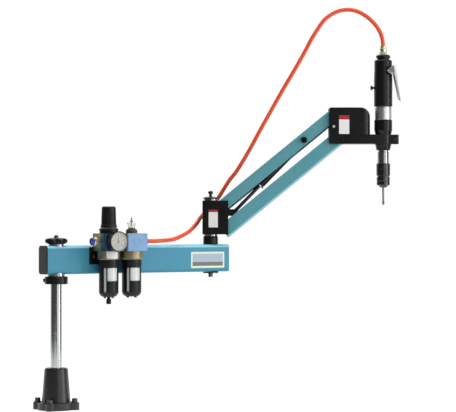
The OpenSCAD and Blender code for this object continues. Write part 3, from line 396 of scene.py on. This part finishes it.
def printed_card(name, base):
    """Coated label stock: flat ink with the faint tooth of the laminate."""
    material, tree, shader, placed = new_finish(name, base, 0.4, Specular_IOR_Level=0.4)
    tooth = add(tree, "TexNoise", values={"Scale": grain(1.5 * MM), "Detail": 2}, links=placed)
    weather(tree, shader, tone=(tooth, 0.96, 1.02), gloss=(tooth, 0.34, 0.46))
    return material


FINISHES = {}


def make_finishes(colours):
    """Every material of the machine, by its plain name."""
    FINISHES.update({
        "beam": powder_coat("blue_powder_coat_beam", colours.beam),
        "arms": powder_coat("blue_powder_coat_arms", colours.arms),
        # painted shade: a dark grey for the inside of the arms' far flange, where shadow falls
        "inside_shade": painted_shade_coat("grey_primer", linear("#1c2427")),
        "casting": cast_enamel("black_enamel", colours.casting),
        "foot": cast_enamel("gloss_black_enamel", colours.casting, 0.7),
        "rubbed": rubbed_enamel("rubbed_black_enamel", shade(colours.casting, 5)),
        "anodised": black_anodise("black_anodised_aluminium", colours.casting),
        "plastic": moulded_nylon("black_nylon", colours.plastic),
        "chrome": hard_chrome("hard_chrome", colours.steel),
        "steel": turned_metal("turned_steel", shade(colours.steel, 0.85)),
        "band": turned_metal("satin_aluminium", linear("#d8d9d6"), 0.36),
        "dark_steel": blackened_steel("blackened_steel", colours.dark_steel),
        "tool_steel": turned_metal("straw_tool_steel", linear("#a39c88"), 0.3),
        "nitrided": turned_metal("nitrided_rod", linear("#606266"), 0.22),
        "lever": turned_metal("polished_zinc", linear("#e4e4e1"), 0.42),
        "spring": glossy_abs("gloss_black_lacquer", linear("#0c0c0d")),
        "alloy": passivated_casting("passivated_zinc", colours.unit_alloy),
        "regulator_cover": glossy_abs("blue_abs", colours.regulator_cover),
        "lubricator_cover": glossy_abs("pale_blue_abs", colours.lubricator_cover),
        "collar": glossy_abs("blue_acetal", colours.collar),
        "olive": moulded_nylon("olive_nylon", linear("#4c4836")),
        "dome": clear_polycarbonate("clear_polycarbonate", linear("#e9ece6"), 0.9, 0.05),
        "bowl": clear_polycarbonate("milky_polycarbonate", linear("#f3f5f4"), 0.25, 0.12),
        "nickel": turned_metal("nickel_plated_brass", linear("#dcd9c6"), 0.34),
        "spindle": turned_metal("hardened_steel", linear("#a7a8a4"), 0.18),
        # painted highlights: paler coats on the bends and rounded edges of the arms and the beam
        "arm_highlight": powder_coat("rubbed_arm_coat", linear("#8cc0d2")),
        "beam_highlight": powder_coat("rubbed_beam_coat", linear("#8ad0e6")),
        "hose": polyurethane("orange_polyurethane", colours.hose),
        "label": printed_card("white_label", linear("#e6e7e5")),
        "label_red": printed_card("red_label_ink", colours.label_red),
        "plate_edge": printed_card("pale_green_ink", colours.plate_edge),
        "plate_bar": printed_card("grey_ink", linear("#6d726b")),
        "plate_field": printed_card("pale_blue_ink", linear("#a8b8c6")),
        "dial": printed_card("white_dial", linear("#f4f4f0")),
        "dial_ink": printed_card("black_ink", linear("#1b1b1c")),
        "dial_red": printed_card("red_ink", linear("#b5301f")),
    })


# ------------------------ mesh tools


def add_object(name, data):
    """A new object in the scene."""
    made = bpy.data.objects.new(name, data)
    bpy.context.scene.collection.objects.link(made)
    return made


def finish_mesh(name, bm, material, node, recalculate=True):
    """Turns a bmesh into a piece in one finish, that rides on a node's body."""
    if recalculate:
        bmesh.ops.recalc_face_normals(bm, faces=bm.faces)
    mesh = bpy.data.meshes.new(name)
    bm.to_mesh(mesh)
    bm.free()
    mesh.shade_smooth()
    mesh.set_sharp_from_angle(angle=SHARP)
    mesh.materials.append(FINISHES[material])
    piece = add_object(name, mesh)
    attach(piece, body_of(node))
    return piece


def body_of(node):
    """The body that a CAD node is in."""
    return frame["nodes"][node]["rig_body"]


def solid_of(node):
    """A bmesh of a CAD node whose loose triangles are joined into flat faces."""
    bm = bmesh.new()
    bm.from_mesh(frame["nodes"][node].data)
    bmesh.ops.remove_doubles(bm, verts=bm.verts, dist=WELD)
    bmesh.ops.dissolve_limit(bm, angle_limit=FLAT, verts=bm.verts, edges=bm.edges)
    return bm


def round_edges(bm, width, segments=2, fillets=False):
    """Rounds every sharp outer edge and, for a casting, fillets every sharp inner corner."""
    edges = [e for e in bm.edges if len(e.link_faces) == 2 and e.calc_face_angle(0) > SHARP
             and (fillets or e.is_convex)]
    rounded = bmesh.ops.bevel(bm, geom=edges, offset=width, offset_type="OFFSET",
                              segments=segments, profile=0.5, affect="EDGES",
                              clamp_overlap=True, material=-1)
    return rounded["faces"]


def dress(node, material, edge=0.0, segments=2, wear_and_highlight=None):
    """Stands a finished copy in place of a CAD node, its rounded edges paler if asked: rubbed wear
    on castings, a painted highlight on the beam and arms.
    """
    bm = solid_of(node)
    if edge:
        rounded = round_edges(bm, edge, segments=segments, fillets=wear_and_highlight == "rubbed")
        # the rounded faces take the paler finish: rubbed wear on castings, a painted highlight on
        # the beam and arms
        for face in rounded if wear_and_highlight else ():
            face.material_index = SECOND
    piece = finish_mesh(node + "_finished", bm, material, node, recalculate=False)
    if wear_and_highlight:
        piece.data.materials.append(FINISHES[wear_and_highlight])
    weighted = piece.modifiers.new("weighted", "WEIGHTED_NORMAL")
    weighted.keep_sharp = True
    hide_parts(node)
    return piece


def dress_all(finishes, edge):
    """Dresses several nodes, each in its finish, with one rounding."""
    for node, material in finishes.items():
        dress(node, material, edge)


def corners_of(made):
    """The corners among what a bmesh operator made."""
    return [v for v in made["geom"] if isinstance(v, bmesh.types.BMVert)]


def plate(width, height, thickness, corner):
    """A thin plate with round corners, centred, its back at z 0."""
    bm = bmesh.new()
    bmesh.ops.create_grid(bm, x_segments=1, y_segments=1, size=0.5)
    bmesh.ops.scale(bm, vec=(width, height, 1), verts=bm.verts)
    bmesh.ops.bevel(bm, geom=bm.verts[:], offset=corner, offset_type="OFFSET", segments=6,
                    profile=0.5, affect="VERTICES", material=-1)
    raised = bmesh.ops.extrude_face_region(bm, geom=bm.faces[:])
    bmesh.ops.translate(bm, vec=(0, 0, thickness), verts=corners_of(raised))
    return bm


def lathe(outline, segments=64):
    """A solid or ring turned about Z from an outline of (radius, height) points."""
    bm = bmesh.new()
    points = [bm.verts.new((r, 0, z)) for r, z in outline]
    edges = [bm.edges.new(pair) for pair in zip(points, points[1:])]
    bmesh.ops.spin(bm, geom=points + edges, cent=(0, 0, 0), axis=(0, 0, 1), angle=math.tau,
                   steps=segments, use_merge=True)
    bmesh.ops.remove_doubles(bm, verts=bm.verts, dist=WELD)
    return bm


def move(bm, matrix):
    """Moves a whole bmesh."""
    bmesh.ops.transform(bm, matrix=matrix, verts=bm.verts)
    return bm


def join(target, *others):
    """Adds other bmeshes to the first one."""
    for other in others:
        scratch = bpy.data.meshes.new("scratch")
        other.to_mesh(scratch)
        other.free()
        target.from_mesh(scratch)
        bpy.data.meshes.remove(scratch)
    return target


def mesh_of_curve(curve):
    """A curve or text turned into a mesh. The curve is removed."""
    scratch = add_object(curve.name, curve)
    bpy.context.view_layer.update()
    mesh = bpy.data.meshes.new_from_object(scratch)
    bpy.data.objects.remove(scratch)
    bpy.data.curves.remove(curve)
    return mesh


# ------------------------ camera and hose

# The centreline of each length of the hose in the row frame, as read off the photograph.
HOSE_LOWER = [(0.257, -0.062, 0.469), (0.280, -0.062, 0.469), (0.303, -0.061, 0.470),
              (0.328, -0.054, 0.471), (0.364, -0.034, 0.474), (0.404, -0.011, 0.483),
              (0.446, 0.014, 0.496), (0.482, 0.033, 0.517), (0.502, 0.044, 0.534)]
HOSE_RISE = [(0.502, 0.044, 0.534), (0.518, 0.044, 0.549), (0.536, 0.040, 0.567),
             (0.556, 0.025, 0.597), (0.566, 0.016, 0.618), (0.580, 0.004, 0.647),
             (0.597, -0.013, 0.677), (0.624, -0.038, 0.737), (0.648, -0.060, 0.796),
             (0.673, -0.082, 0.855), (0.699, -0.103, 0.914), (0.725, -0.126, 0.972),
             (0.749, -0.144, 1.025), (0.763, -0.157, 1.061)]
HOSE_LOOP = [(0.763, -0.157, 1.061), (0.780, -0.171, 1.096), (0.797, -0.183, 1.123),
             (0.822, -0.200, 1.143), (0.849, -0.219, 1.150), (0.874, -0.236, 1.145),
             (0.897, -0.251, 1.130), (0.916, -0.264, 1.109), (0.930, -0.272, 1.086),
             (0.9365, -0.276, 1.064), (0.9386, -0.2774, 1.042)]


def smooth_route(points, steps=6):
    """Points along a smooth curve through a route's own points."""
    points = [Vector(p) for p in points]
    line = []
    for i in range(len(points) - 1):
        a, b = points[max(i - 1, 0)], points[i]
        c, d = points[i + 1], points[min(i + 2, len(points) - 1)]
        for k in range(steps):
            t = k / steps
            line.append(0.5 * (2 * b + (c - a) * t + (2 * a - 5 * b + 4 * c - d) * t * t
                               + (3 * b - a - 3 * c + d) * t ** 3))
    return line + [points[-1]]


def tube_mesh(name, line, diameter):
    """A round tube along a line, as a mesh."""
    curve = bpy.data.curves.new(name, "CURVE")
    curve.dimensions = "3D"
    curve.bevel_depth = diameter / 2
    curve.bevel_resolution = 5
    curve.use_fill_caps = True
    spline = curve.splines.new("POLY")
    spline.points.add(len(line) - 1)
    for point, place in zip(spline.points, line):
        point.co = (*place, 1)
    return mesh_of_curve(curve)


class TAPPING_OT_camera(bpy.types.Operator):
    """Stand the camera where the photograph was taken from"""

    bl_idname = "tapping.camera"
    bl_label = "Camera"

    def execute(self, context):
        stage = context.scene.machine_stage
        data = bpy.data.cameras.new("camera")
        data.lens = stage.lens
        data.sensor_width = 36
        data.clip_end = 60
        camera = add_object("camera", data)
        camera.location = stage.camera_at
        level = Vector((math.sin(stage.camera_azimuth), math.cos(stage.camera_azimuth), 0))
        ahead = level * math.cos(stage.camera_pitch) + UP * math.sin(stage.camera_pitch)
        camera.rotation_euler = ahead.to_track_quat("-Z", "Y").to_euler()
        context.scene.camera = camera
        context.scene.view_settings.view_transform = "Standard"
        return {"FINISHED"}


class TAPPING_OT_hose(bpy.types.Operator):
    """Lay the orange air hose from the air unit past the elbow to the motor"""

    bl_idname = "tapping.hose"
    bl_label = "Air hose"

    def execute(self, context):
        diameter = context.scene.machine_sizes.hose_d
        # Each length: its node, its route, the two bodies it runs between and two points of its
        # route; the bodies and points are not used, and the tube is not made to bend.
        lengths = (("hose_lower", HOSE_LOWER, "beam", "elbow", 0, -1),
                   ("hose_rise", HOSE_RISE, "elbow", "upper_arm", 1, -1),
                   ("hose_loop", HOSE_LOOP, "upper_arm", "head", 1, -4))
        for node, route, first, second, start, end in lengths:
            line = smooth_route(route)
            mesh = tube_mesh(node + "_tube", line, diameter)
            mesh.shade_smooth()
            mesh.set_sharp_from_angle(angle=SHARP)
            mesh.materials.append(FINISHES["hose"])
            tube = add_object(node + "_tube", mesh)
            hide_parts(node)
            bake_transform(tube)
        return {"FINISHED"}


# ------------------------ stand and beam


def paint_bend_highlight(piece, front, side):
    """Gives a paler finish, a painted highlight, to the faces of a bend between a piece's front
    and another side.
    """
    edge_on, square_on, turned = 0.1, 0.97, 0.2       # cosines at which a bend starts and ends
    for face in piece.data.polygons:
        facing = face.normal.dot(front)
        if edge_on < facing < square_on and face.normal.dot(side) > turned:
            face.material_index = SECOND


class TAPPING_OT_stand(bpy.types.Operator):
    """Finish the foot, its bolts, the column and the collar"""

    bl_idname = "tapping.stand"
    bl_label = "Stand"

    def execute(self, context):
        sizes = context.scene.machine_sizes
        dress("foot", "foot", sizes.cast_edge, 3, wear_and_highlight="rubbed")
        dress_all({"foot_bolts": "dark_steel", "column": "chrome", "height_collar": "anodised",
                   "column_screws": "dark_steel"}, sizes.cut_edge)
        dress("lock_knob", "plastic", sizes.cast_edge, 3)
        return {"FINISHED"}


class TAPPING_OT_beam(bpy.types.Operator):
    """Finish the beam, its end plug and its bushes"""

    bl_idname = "tapping.beam"
    bl_label = "Beam"

    def execute(self, context):
        sizes = context.scene.machine_sizes
        # painted highlight: the beam's rounded edges and its top front bend are paler
        beam = dress("beam_tube", "beam", sizes.cast_edge, 3, wear_and_highlight="beam_highlight")
        paint_bend_highlight(beam, Vector((0, -1, 0)), UP)
        dress("beam_end_plug", "plastic", sizes.cast_edge, 3)
        dress("column_bushes", "steel", sizes.cut_edge)
        dress("beam_sleeves", "steel")
        dress("elbow_shaft", "steel")
        dress("beam_screws", "dark_steel", sizes.cut_edge)
        return {"FINISHED"}


class TAPPING_OT_nameplate(bpy.types.Operator):
    """Fix the blank nameplate to the beam's front"""

    bl_idname = "tapping.nameplate"
    bl_label = "Nameplate"

    def execute(self, context):
        sizes = context.scene.machine_sizes
        low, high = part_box("beam_tube")
        width, height = sizes.plate_w, sizes.plate_h
        right_edge, middle = high.x - 20 * MM, low.z + 35 * MM
        seat = Matrix.Translation((right_edge - width / 2, low.y, middle)) @ FACING
        border, sheet, ink = 5 * MM, 0.5 * MM, 0.12 * MM
        printed = width - 2 * border
        layers = (
            ("nameplate", width, height, 0, sheet, 2.5 * MM, "plate_edge", 0),
            ("nameplate_field", printed, height * 0.52, sheet, ink, 0.8 * MM, "plate_field",
             height * 0.13),
            ("nameplate_bar", printed, height * 0.24, sheet, ink, 0.5 * MM, "plate_bar",
             -height * 0.25))
        for name, w, h, base, thickness, corner, material, rise in layers:
            bm = plate(w, h, thickness, corner)
            move(bm, seat @ Matrix.Translation((0, rise, base)))
            finish_mesh(name, bm, material, "beam_tube")
        return {"FINISHED"}


# ------------------------ elbow, arms and gas spring


FORK_FRONT = 28 * MM        # from the middle plane of the elbow's and the head's fork to its front


def fix_label(name, seat, width, height, header, thickness, node):
    """A blank white label with a coloured header strip."""
    card = move(plate(width, height, thickness, 1.2 * MM), seat)
    finish_mesh(name, card, "label", node)
    strip = plate(width, header, thickness * 0.4, 0.8 * MM)
    move(strip, seat @ Matrix.Translation((0, (height - header) / 2, thickness)))
    finish_mesh(name + "_header", strip, "label_red", node)


class TAPPING_OT_elbow(bpy.types.Operator):
    """Finish the elbow block, its rings, cap, pins and label"""

    bl_idname = "tapping.elbow"
    bl_label = "Elbow"

    def execute(self, context):
        sizes = context.scene.machine_sizes
        dress("elbow_block", "casting", sizes.cast_edge, 3, wear_and_highlight="rubbed")
        dress_all({"elbow_rings": "spindle", "elbow_bearing": "anodised",
                   "elbow_top_cap": "anodised", "elbow_lock_screw": "dark_steel"},
                  sizes.cut_edge)
        dress("elbow_pins", "casting", PIN_EDGE)
        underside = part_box("elbow_block")[0].z
        centre = Vector((8 * MM, -FORK_FRONT, underside + 46.5 * MM))
        seat = ELBOW @ Matrix.Translation(centre) @ FACING
        fix_label("elbow_label", seat, 27 * MM, 52 * MM, 7 * MM, sizes.label_t, "elbow_block")
        return {"FINISHED"}


class TAPPING_OT_arms(bpy.types.Operator):
    """Finish the two folded arms"""

    bl_idname = "tapping.arms"
    bl_label = "Arms"

    def execute(self, context):
        sizes = context.scene.machine_sizes
        pivot = joint_point("arm_lift")
        below = (joint_point("head_level") - pivot).cross(ARM_BACK).normalized()
        square_on = -0.9
        for node in ("upper_arm", "lower_arm"):
            # painted highlight: each arm's rounded edges and lower bend are paler
            arm = dress(node, "arms", 2 * sizes.cut_edge, wear_and_highlight="arm_highlight")
            arm.data.materials.append(FINISHES["inside_shade"])
            paint_bend_highlight(arm, -ARM_BACK, below if below.z < 0 else -below)
            # painted shade: the far flange's inner face, turned to the front, is dark grey
            for face in arm.data.polygons:
                behind = (face.center - pivot).dot(ARM_BACK) > 0
                if behind and face.normal.dot(ARM_BACK) < square_on:
                    face.material_index = THIRD
        return {"FINISHED"}


class TAPPING_OT_gas_spring(bpy.types.Operator):
    """Finish the gas spring and its bolt"""

    bl_idname = "tapping.gas_spring"
    bl_label = "Gas spring"

    def execute(self, context):
        sizes = context.scene.machine_sizes
        dress_all({"spring_cylinder": "spring", "spring_rod": "nitrided",
                   "spring_bolt": "casting"}, sizes.cut_edge)
        down = joint_axis("spring_slide")
        down = down if down.z < 0 else -down
        spring = basis(joint_point("spring_swing"), down, ARM_BACK) @ Matrix.Rotation(
            math.radians(90), 4, "Y")
        mouth, inner, outer, chamfer = 188 * MM, 10.6 * MM, 12.3 * MM, 0.6 * MM
        back = mouth - 4 * MM
        ring = lathe([(inner, back), (outer, back), (outer, mouth - chamfer),
                      (outer - chamfer, mouth), (inner, mouth), (inner, back)])
        finish_mesh("gland_ring", move(ring, spring), "lever", "spring_cylinder")
        return {"FINISHED"}


# ------------------------ head and motor


class TAPPING_OT_head(bpy.types.Operator):
    """Finish the head housing, its clamp, pins, screws and label"""

    bl_idname = "tapping.head"
    bl_label = "Head"

    def execute(self, context):
        sizes = context.scene.machine_sizes
        dress("head_housing", "casting", sizes.cast_edge, 3, wear_and_highlight="rubbed")
        dress("clamp_bar", "anodised", sizes.cut_edge)
        dress("head_pins", "casting", PIN_EDGE)
        screws = dress("head_screws", "lever", sizes.cut_edge)
        screws.data.materials.append(FINISHES["dark_steel"])
        ear = HEAD.inverted() @ MOTOR.translation
        for face in screws.data.polygons:
            if (HEAD.inverted() @ face.center).x > ear.x:
                face.material_index = SECOND
        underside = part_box("head_housing")[0].z
        centre = Vector((28.6 * MM, -FORK_FRONT, underside + 56.5 * MM))
        seat = HEAD @ Matrix.Translation(centre) @ FACING
        fix_label("head_label", seat, 30 * MM, 55 * MM, 12.6 * MM, sizes.label_t, "head_housing")
        return {"FINISHED"}


class TAPPING_OT_motor(bpy.types.Operator):
    """Finish the air motor's body, trigger and button"""

    bl_idname = "tapping.motor"
    bl_label = "Air motor"

    def execute(self, context):
        sizes = context.scene.machine_sizes
        dress_all({"motor_neck": "anodised", "nose_collar": "anodised", "motor_band": "band",
                   "motor_grip": "plastic", "motor_cap": "plastic", "hose_tail": "nickel"},
                  sizes.cut_edge)
        self.fold_lever(sizes.cut_edge)
        dress("reverse_button", "plastic", sizes.cut_edge)
        return {"FINISHED"}

    @staticmethod
    def fold_lever(edge):
        """The throttle lever, with a flange folded along each side of its long part."""
        pin = joint_point("trigger_squeeze")
        frame_of_lever = basis(pin, joint_axis("trigger_squeeze").cross(UP), UP)
        centre = (frame_of_lever.inverted() @ MOTOR.translation).x
        lever = solid_of("trigger_lever")
        # Corners in mm: out from the motor's axis, and up from the lever's pin.
        flange = [(29.5, -11), (36.2, -11), (48.8, -86), (44.6, -86)]
        half_width, sheet = 6.6 * MM, 1.2 * MM
        for side in (-1, 1):
            fold = bmesh.new()
            fold.faces.new([fold.verts.new((centre + x * MM, side * half_width, z * MM))
                            for x, z in flange])
            raised = bmesh.ops.extrude_face_region(fold, geom=fold.faces[:])
            bmesh.ops.translate(fold, vec=(0, side * sheet, 0), verts=corners_of(raised))
            bmesh.ops.recalc_face_normals(fold, faces=fold.faces)
            join(lever, move(fold, frame_of_lever))
        round_edges(lever, edge)
        piece = finish_mesh("trigger_lever_finished", lever, "lever", "trigger_lever",
                            recalculate=False)
        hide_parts("trigger_lever")


class TAPPING_OT_chuck(bpy.types.Operator):
    """Finish the spindle, the quick-change chuck and the tap"""

    bl_idname = "tapping.chuck"
    bl_label = "Chuck and tap"

    def execute(self, context):
        sizes = context.scene.machine_sizes
        dress_all({"spindle": "spindle", "chuck_body": "dark_steel",
                   "chuck_sleeve": "dark_steel"}, sizes.cut_edge)
        self.cut_tap()
        return {"FINISHED"}

    @staticmethod
    def cut_tap():
        """The tap: its thread's ridges, four flutes that run out into the shank, and the shank."""
        low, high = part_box("tap")
        thread, core, shank, half_pitch = 4.25 * MM, 3.7 * MM, 3.25 * MM, 0.65 * MM
        flutes, flute_core, flanks = 4, 2.2 * MM, 17
        levels = [(0.0, 2.4 * MM, 1.7 * MM)]     # height, then the radius of a land and a flute
        for i in range(1, flanks + 1):
            crest = thread if i % 2 else core
            lead = min(1.0, 0.62 + 0.1 * i)      # the tap's chamfered start
            levels.append((i * half_pitch, crest * lead, flute_core))
        levels += [(11.6 * MM, shank, flute_core), (24 * MM, shank, 2.4 * MM),
                   (29 * MM, shank, shank), (high.z - low.z, shank, shank)]
        bm = bmesh.new()
        made = bmesh.ops.create_circle(bm, cap_ends=True, segments=48, radius=thread)
        ring, loop = made["verts"], bm.edges[:]
        for i, (rise, land, flute) in enumerate(levels):
            if i:
                made = bmesh.ops.extrude_edge_only(bm, edges=loop)
                ring = corners_of(made)
                loop = [e for e in made["geom"]
                        if isinstance(e, bmesh.types.BMEdge) and e.is_boundary]
            for corner in ring:
                turn = math.atan2(corner.co.y, corner.co.x)
                depth = min(1.0, max(0.0, 1.6 * math.cos(flutes * turn) + 0.3))
                radius = land + (flute - land) * depth
                corner.co = (radius * math.cos(turn), radius * math.sin(turn), low.z + rise)
        bmesh.ops.holes_fill(bm, edges=loop, sides=0)
        piece = finish_mesh("tap_finished", move(bm, MOTOR), "tool_steel", "tap")
        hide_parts("tap")


# ------------------------ air unit


class TAPPING_OT_air_unit(bpy.types.Operator):
    """Finish the regulator, the lubricator and their bowls"""

    bl_idname = "tapping.air_unit"
    bl_label = "Air unit"

    def execute(self, context):
        sizes = context.scene.machine_sizes
        dress_all({"unit_bracket": "casting", "unit_bodies": "alloy",
                   "regulator_cover": "regulator_cover", "lubricator_cover": "lubricator_cover",
                   "regulator_bonnet": "plastic"}, sizes.cut_edge)
        dress("regulator_knob", "plastic", FINE_EDGE)
        dress_all({"oil_ring": "olive", "sight_dome": "dome", "oil_adjuster": "spindle",
                   "port_fittings": "nickel", "inlet_collar": "collar",
                   "outlet_collar": "collar", "drain_valve": "plastic"}, sizes.cut_edge)
        self.wrap_label(sizes.label_t)
        dress("bowl_guards", "plastic", FINE_EDGE)
        dress("bowls", "bowl")
        return {"FINISHED"}

    @staticmethod
    def wrap_label(thickness):
        """A bare white label bent round the front of the regulator's neck."""
        radius, height = 32 * MM, 19.5 * MM
        start, sweep = math.radians(-40), math.radians(63)
        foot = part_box("unit_bodies")[0].z + 3.5 * MM
        bm = bmesh.new()
        side = [bm.verts.new((0, -radius - r, z)) for r, z in (
            (0, foot), (thickness, foot), (thickness, foot + height), (0, foot + height))]
        edges = [bm.edges.new((side[i], side[(i + 1) % 4])) for i in range(4)]
        bmesh.ops.rotate(bm, verts=bm.verts, cent=(0, 0, 0),
                         matrix=Matrix.Rotation(start, 3, "Z"))
        bmesh.ops.spin(bm, geom=side + edges, cent=(0, 0, 0), axis=(0, 0, 1),
                       angle=sweep, steps=16, use_merge=False)
        bmesh.ops.holes_fill(bm, edges=[e for e in bm.edges if e.is_boundary], sides=4)
        finish_mesh("regulator_label", move(bm, REGULATOR), "label", "unit_bodies")


DIAL_START, DIAL_SWEEP = math.radians(225), math.radians(270)


class TAPPING_OT_gauge(bpy.types.Operator):
    """Finish the gauge, with a printed scale and a glass"""

    bl_idname = "tapping.gauge"
    bl_label = "Gauge"

    def execute(self, context):
        sizes = context.scene.machine_sizes
        dress("gauge_case", "plastic", sizes.cut_edge)
        dress("gauge_dial", "dial")
        dress("gauge_needle", "dial_red")
        low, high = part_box("gauge_dial")
        face = Matrix.Translation(((low.x + high.x) / 2, low.y, (low.z + high.z) / 2)) @ FACING
        radius = (high.x - low.x) / 2
        self.print_scale(face, radius, sizes.dial_marks)
        self.print_numbers(face, radius)
        self.fit_glass(face, radius)
        return {"FINISHED"}

    @staticmethod
    def print_scale(face, radius, count):
        """Marks round three quarters of the dial, long at every fifth."""
        ink = bmesh.new()
        for i in range(count + 1):
            turn = Matrix.Rotation(DIAL_START - DIAL_SWEEP * i / count, 4, "Z")
            tall, wide = (4 * MM, 0.9 * MM) if i % 5 == 0 else (2 * MM, 0.4 * MM)
            mark = plate(tall, wide, 0.1 * MM, 0.05 * MM)
            out = Matrix.Translation((radius * 0.88 - tall / 2, 0, 0))
            join(ink, move(mark, face @ turn @ out))
        finish_mesh("gauge_scale", ink, "dial_ink", "gauge_dial")

    @staticmethod
    def print_numbers(face, radius):
        """Plain numbers inside the marks."""
        ink = bmesh.new()
        words = ("0", "2", "4", "6", "8", "10")
        for i, word in enumerate(words):
            turn = DIAL_START - DIAL_SWEEP * i / (len(words) - 1)
            curve = bpy.data.curves.new("number", "FONT")
            curve.body = word
            curve.size = 5.5 * MM
            curve.extrude = 0.04 * MM
            curve.align_x = "CENTER"
            curve.align_y = "CENTER"
            mesh = mesh_of_curve(curve)
            place = Vector((math.cos(turn), math.sin(turn), 0)) * radius * 0.6
            mesh.transform(face @ Matrix.Translation(place + Vector((0, 0, 0.05 * MM))))
            ink.from_mesh(mesh)
            bpy.data.meshes.remove(mesh)
        finish_mesh("gauge_numbers", ink, "dial_ink", "gauge_dial")

    @staticmethod
    def fit_glass(face, radius):
        """A flat glass just inside the bezel."""
        back, front = 5 * MM, 6.2 * MM           # above the dial
        glass = lathe([(0, back), (radius, back), (radius, front), (0, front)])
        finish_mesh("gauge_glass", move(glass, face), "dome", "gauge_dial")


# ------------------------ stage


class TAPPING_OT_stage(bpy.types.Operator):
    """Lay the floor and hang the lamps"""

    bl_idname = "tapping.stage"
    bl_label = "Stage"

    def execute(self, context):
        stage = context.scene.machine_stage
        self.lay_floor()
        aim = Vector((0.45, -0.1, 0.6))          # near the machine's middle
        toward = Vector(stage.camera_at) - aim
        toward.z = 0
        toward.normalize()
        right = toward.cross(-UP).normalized()
        # Level directions at two angles to the right of the camera's.
        side, edge = (toward * math.cos(turn) + right * math.sin(turn)
                      for turn in (math.radians(48), math.radians(70)))
        for name, offset, size in (("side_lamp", side * 3.4 + UP * 0.5, (4.6, 3.0)),
                                   ("strip_lamp", edge * 3.2 + UP * 0.3, (0.45, 2.6)),
                                   ("top_lamp", UP * 2.6 - side * 0.3, (3.2, 2.4))):
            self.hang_lamp(name, aim + offset, aim, size, getattr(stage, name))
        self.light_room(stage.ambient, toward, right)
        return {"FINISHED"}

    @staticmethod
    def lay_floor():
        """A plain pale floor that glows towards the eye and keeps the machine's shadow."""
        bm = bmesh.new()
        bmesh.ops.create_grid(bm, x_segments=1, y_segments=1, size=2)
        mesh = bpy.data.meshes.new("floor")
        bm.to_mesh(mesh)
        bm.free()
        material, tree, shader, _ = new_finish("white_floor", linear("#ccccca"), 0.8)
        rays = add(tree, "LightPath")
        seen = add(tree, "Math", {"operation": "MAXIMUM"}, links={
            0: rays.outputs["Is Camera Ray"], 1: rays.outputs["Is Glossy Ray"]})
        glow = add(tree, "Math", {"operation": "MULTIPLY"}, {1: 0.6}, {0: seen.outputs[0]})
        shader.inputs["Emission Color"].default_value = (1, 1, 1, 1)
        tree.links.new(glow.outputs[0], shader.inputs["Emission Strength"])
        mesh.materials.append(material)
        add_object("floor", mesh)

    @staticmethod
    def hang_lamp(name, place, aim, size, power):
        """A rectangular soft lamp that faces a point."""
        data = bpy.data.lights.new(name, "AREA")
        data.shape = "RECTANGLE"
        data.size, data.size_y = size
        data.energy = power
        lamp = add_object(name, data)
        lamp.location = place
        lamp.rotation_euler = (aim - place).to_track_quat("-Z", "Y").to_euler()

    @staticmethod
    def light_room(ambient, toward, right):
        """A room white to the eye: dim on the left, and in reflections dark near the camera."""
        world = bpy.data.worlds.new("room")
        bpy.context.scene.world = world
        world.use_nodes = True
        tree = world.node_tree
        out = tree.nodes["Background"]
        rays = add(tree, "LightPath")
        where = add(tree, "TexCoord").outputs["Generated"]
        nearness = add(tree, "VectorMath", {"operation": "DOT_PRODUCT"}, {1: toward}, {0: where})
        rightness = add(tree, "VectorMath", {"operation": "DOT_PRODUCT"}, {1: right}, {0: where})
        mirrored = add(tree, "MapRange", {"interpolation_type": "SMOOTHSTEP"},
                       {"From Min": -0.75, "From Max": -0.15, "To Min": 1.0, "To Max": 0.07},
                       {"Value": nearness.outputs["Value"]})
        fill = add(tree, "MapRange", links={"Value": rightness.outputs["Value"]}, values={
            "From Min": -1, "From Max": 1, "To Min": ambient * 0.55, "To Max": ambient * 1.3})
        lit = add(tree, "Mix", {"data_type": "FLOAT"}, links={
            "Factor": rays.outputs["Is Glossy Ray"], "A": fill.outputs["Result"],
            "B": mirrored.outputs["Result"]})
        seen = add(tree, "Math", {"operation": "MAXIMUM"}, links={
            0: rays.outputs["Is Camera Ray"], 1: rays.outputs["Is Transmission Ray"]})
        strength = add(tree, "Mix", {"data_type": "FLOAT"}, {"B": 1.0},
                       {"Factor": seen.outputs[0], "A": lit.outputs["Result"]})
        out.inputs["Color"].default_value = (1, 1, 1, 1)
        tree.links.new(strength.outputs["Result"], out.inputs["Strength"])


# ------------------------ panel and registration


class TAPPING_PT_machine(bpy.types.Panel):
    """Lists the machine's sizes, colours and pieces"""

    bl_idname = "TAPPING_PT_machine"
    bl_label = "Arm tapping machine"
    bl_space_type = "VIEW_3D"
    bl_region_type = "UI"
    bl_category = "Tapping"

    def draw(self, context):
        layout = self.layout
        for group in (context.scene.machine_sizes, context.scene.machine_colours,
                      context.scene.machine_stage):
            box = layout.box()
            box.label(text=group.bl_rna.description)
            for name in group.__annotations__:
                box.prop(group, name)
        for step in STEPS:
            layout.operator(step.bl_idname)


GROUPS = {"machine_colours": MachineColours, "machine_sizes": MachineSizes,
          "machine_stage": MachineStage}
STEPS = (TAPPING_OT_camera, TAPPING_OT_hose, TAPPING_OT_stand, TAPPING_OT_beam,
         TAPPING_OT_nameplate, TAPPING_OT_elbow, TAPPING_OT_arms, TAPPING_OT_gas_spring,
         TAPPING_OT_head, TAPPING_OT_motor, TAPPING_OT_chuck, TAPPING_OT_air_unit,
         TAPPING_OT_gauge, TAPPING_OT_stage)
CLASSES = (*GROUPS.values(), *STEPS, TAPPING_PT_machine)


def register():
    for each in CLASSES:
        bpy.utils.register_class(each)
    for name, group in GROUPS.items():
        setattr(bpy.types.Scene, name, PointerProperty(type=group))


def unregister():
    for name in GROUPS:
        delattr(bpy.types.Scene, name)
    for each in reversed(CLASSES):
        bpy.utils.unregister_class(each)


def main():
    """Makes the whole scene."""
    register()
    make_finishes(bpy.context.scene.machine_colours)
    for step in STEPS:
        operator = getattr(bpy.ops.tapping, step.bl_idname.split(".")[1])
        operator()


if __name__ == "__main__":
    main()
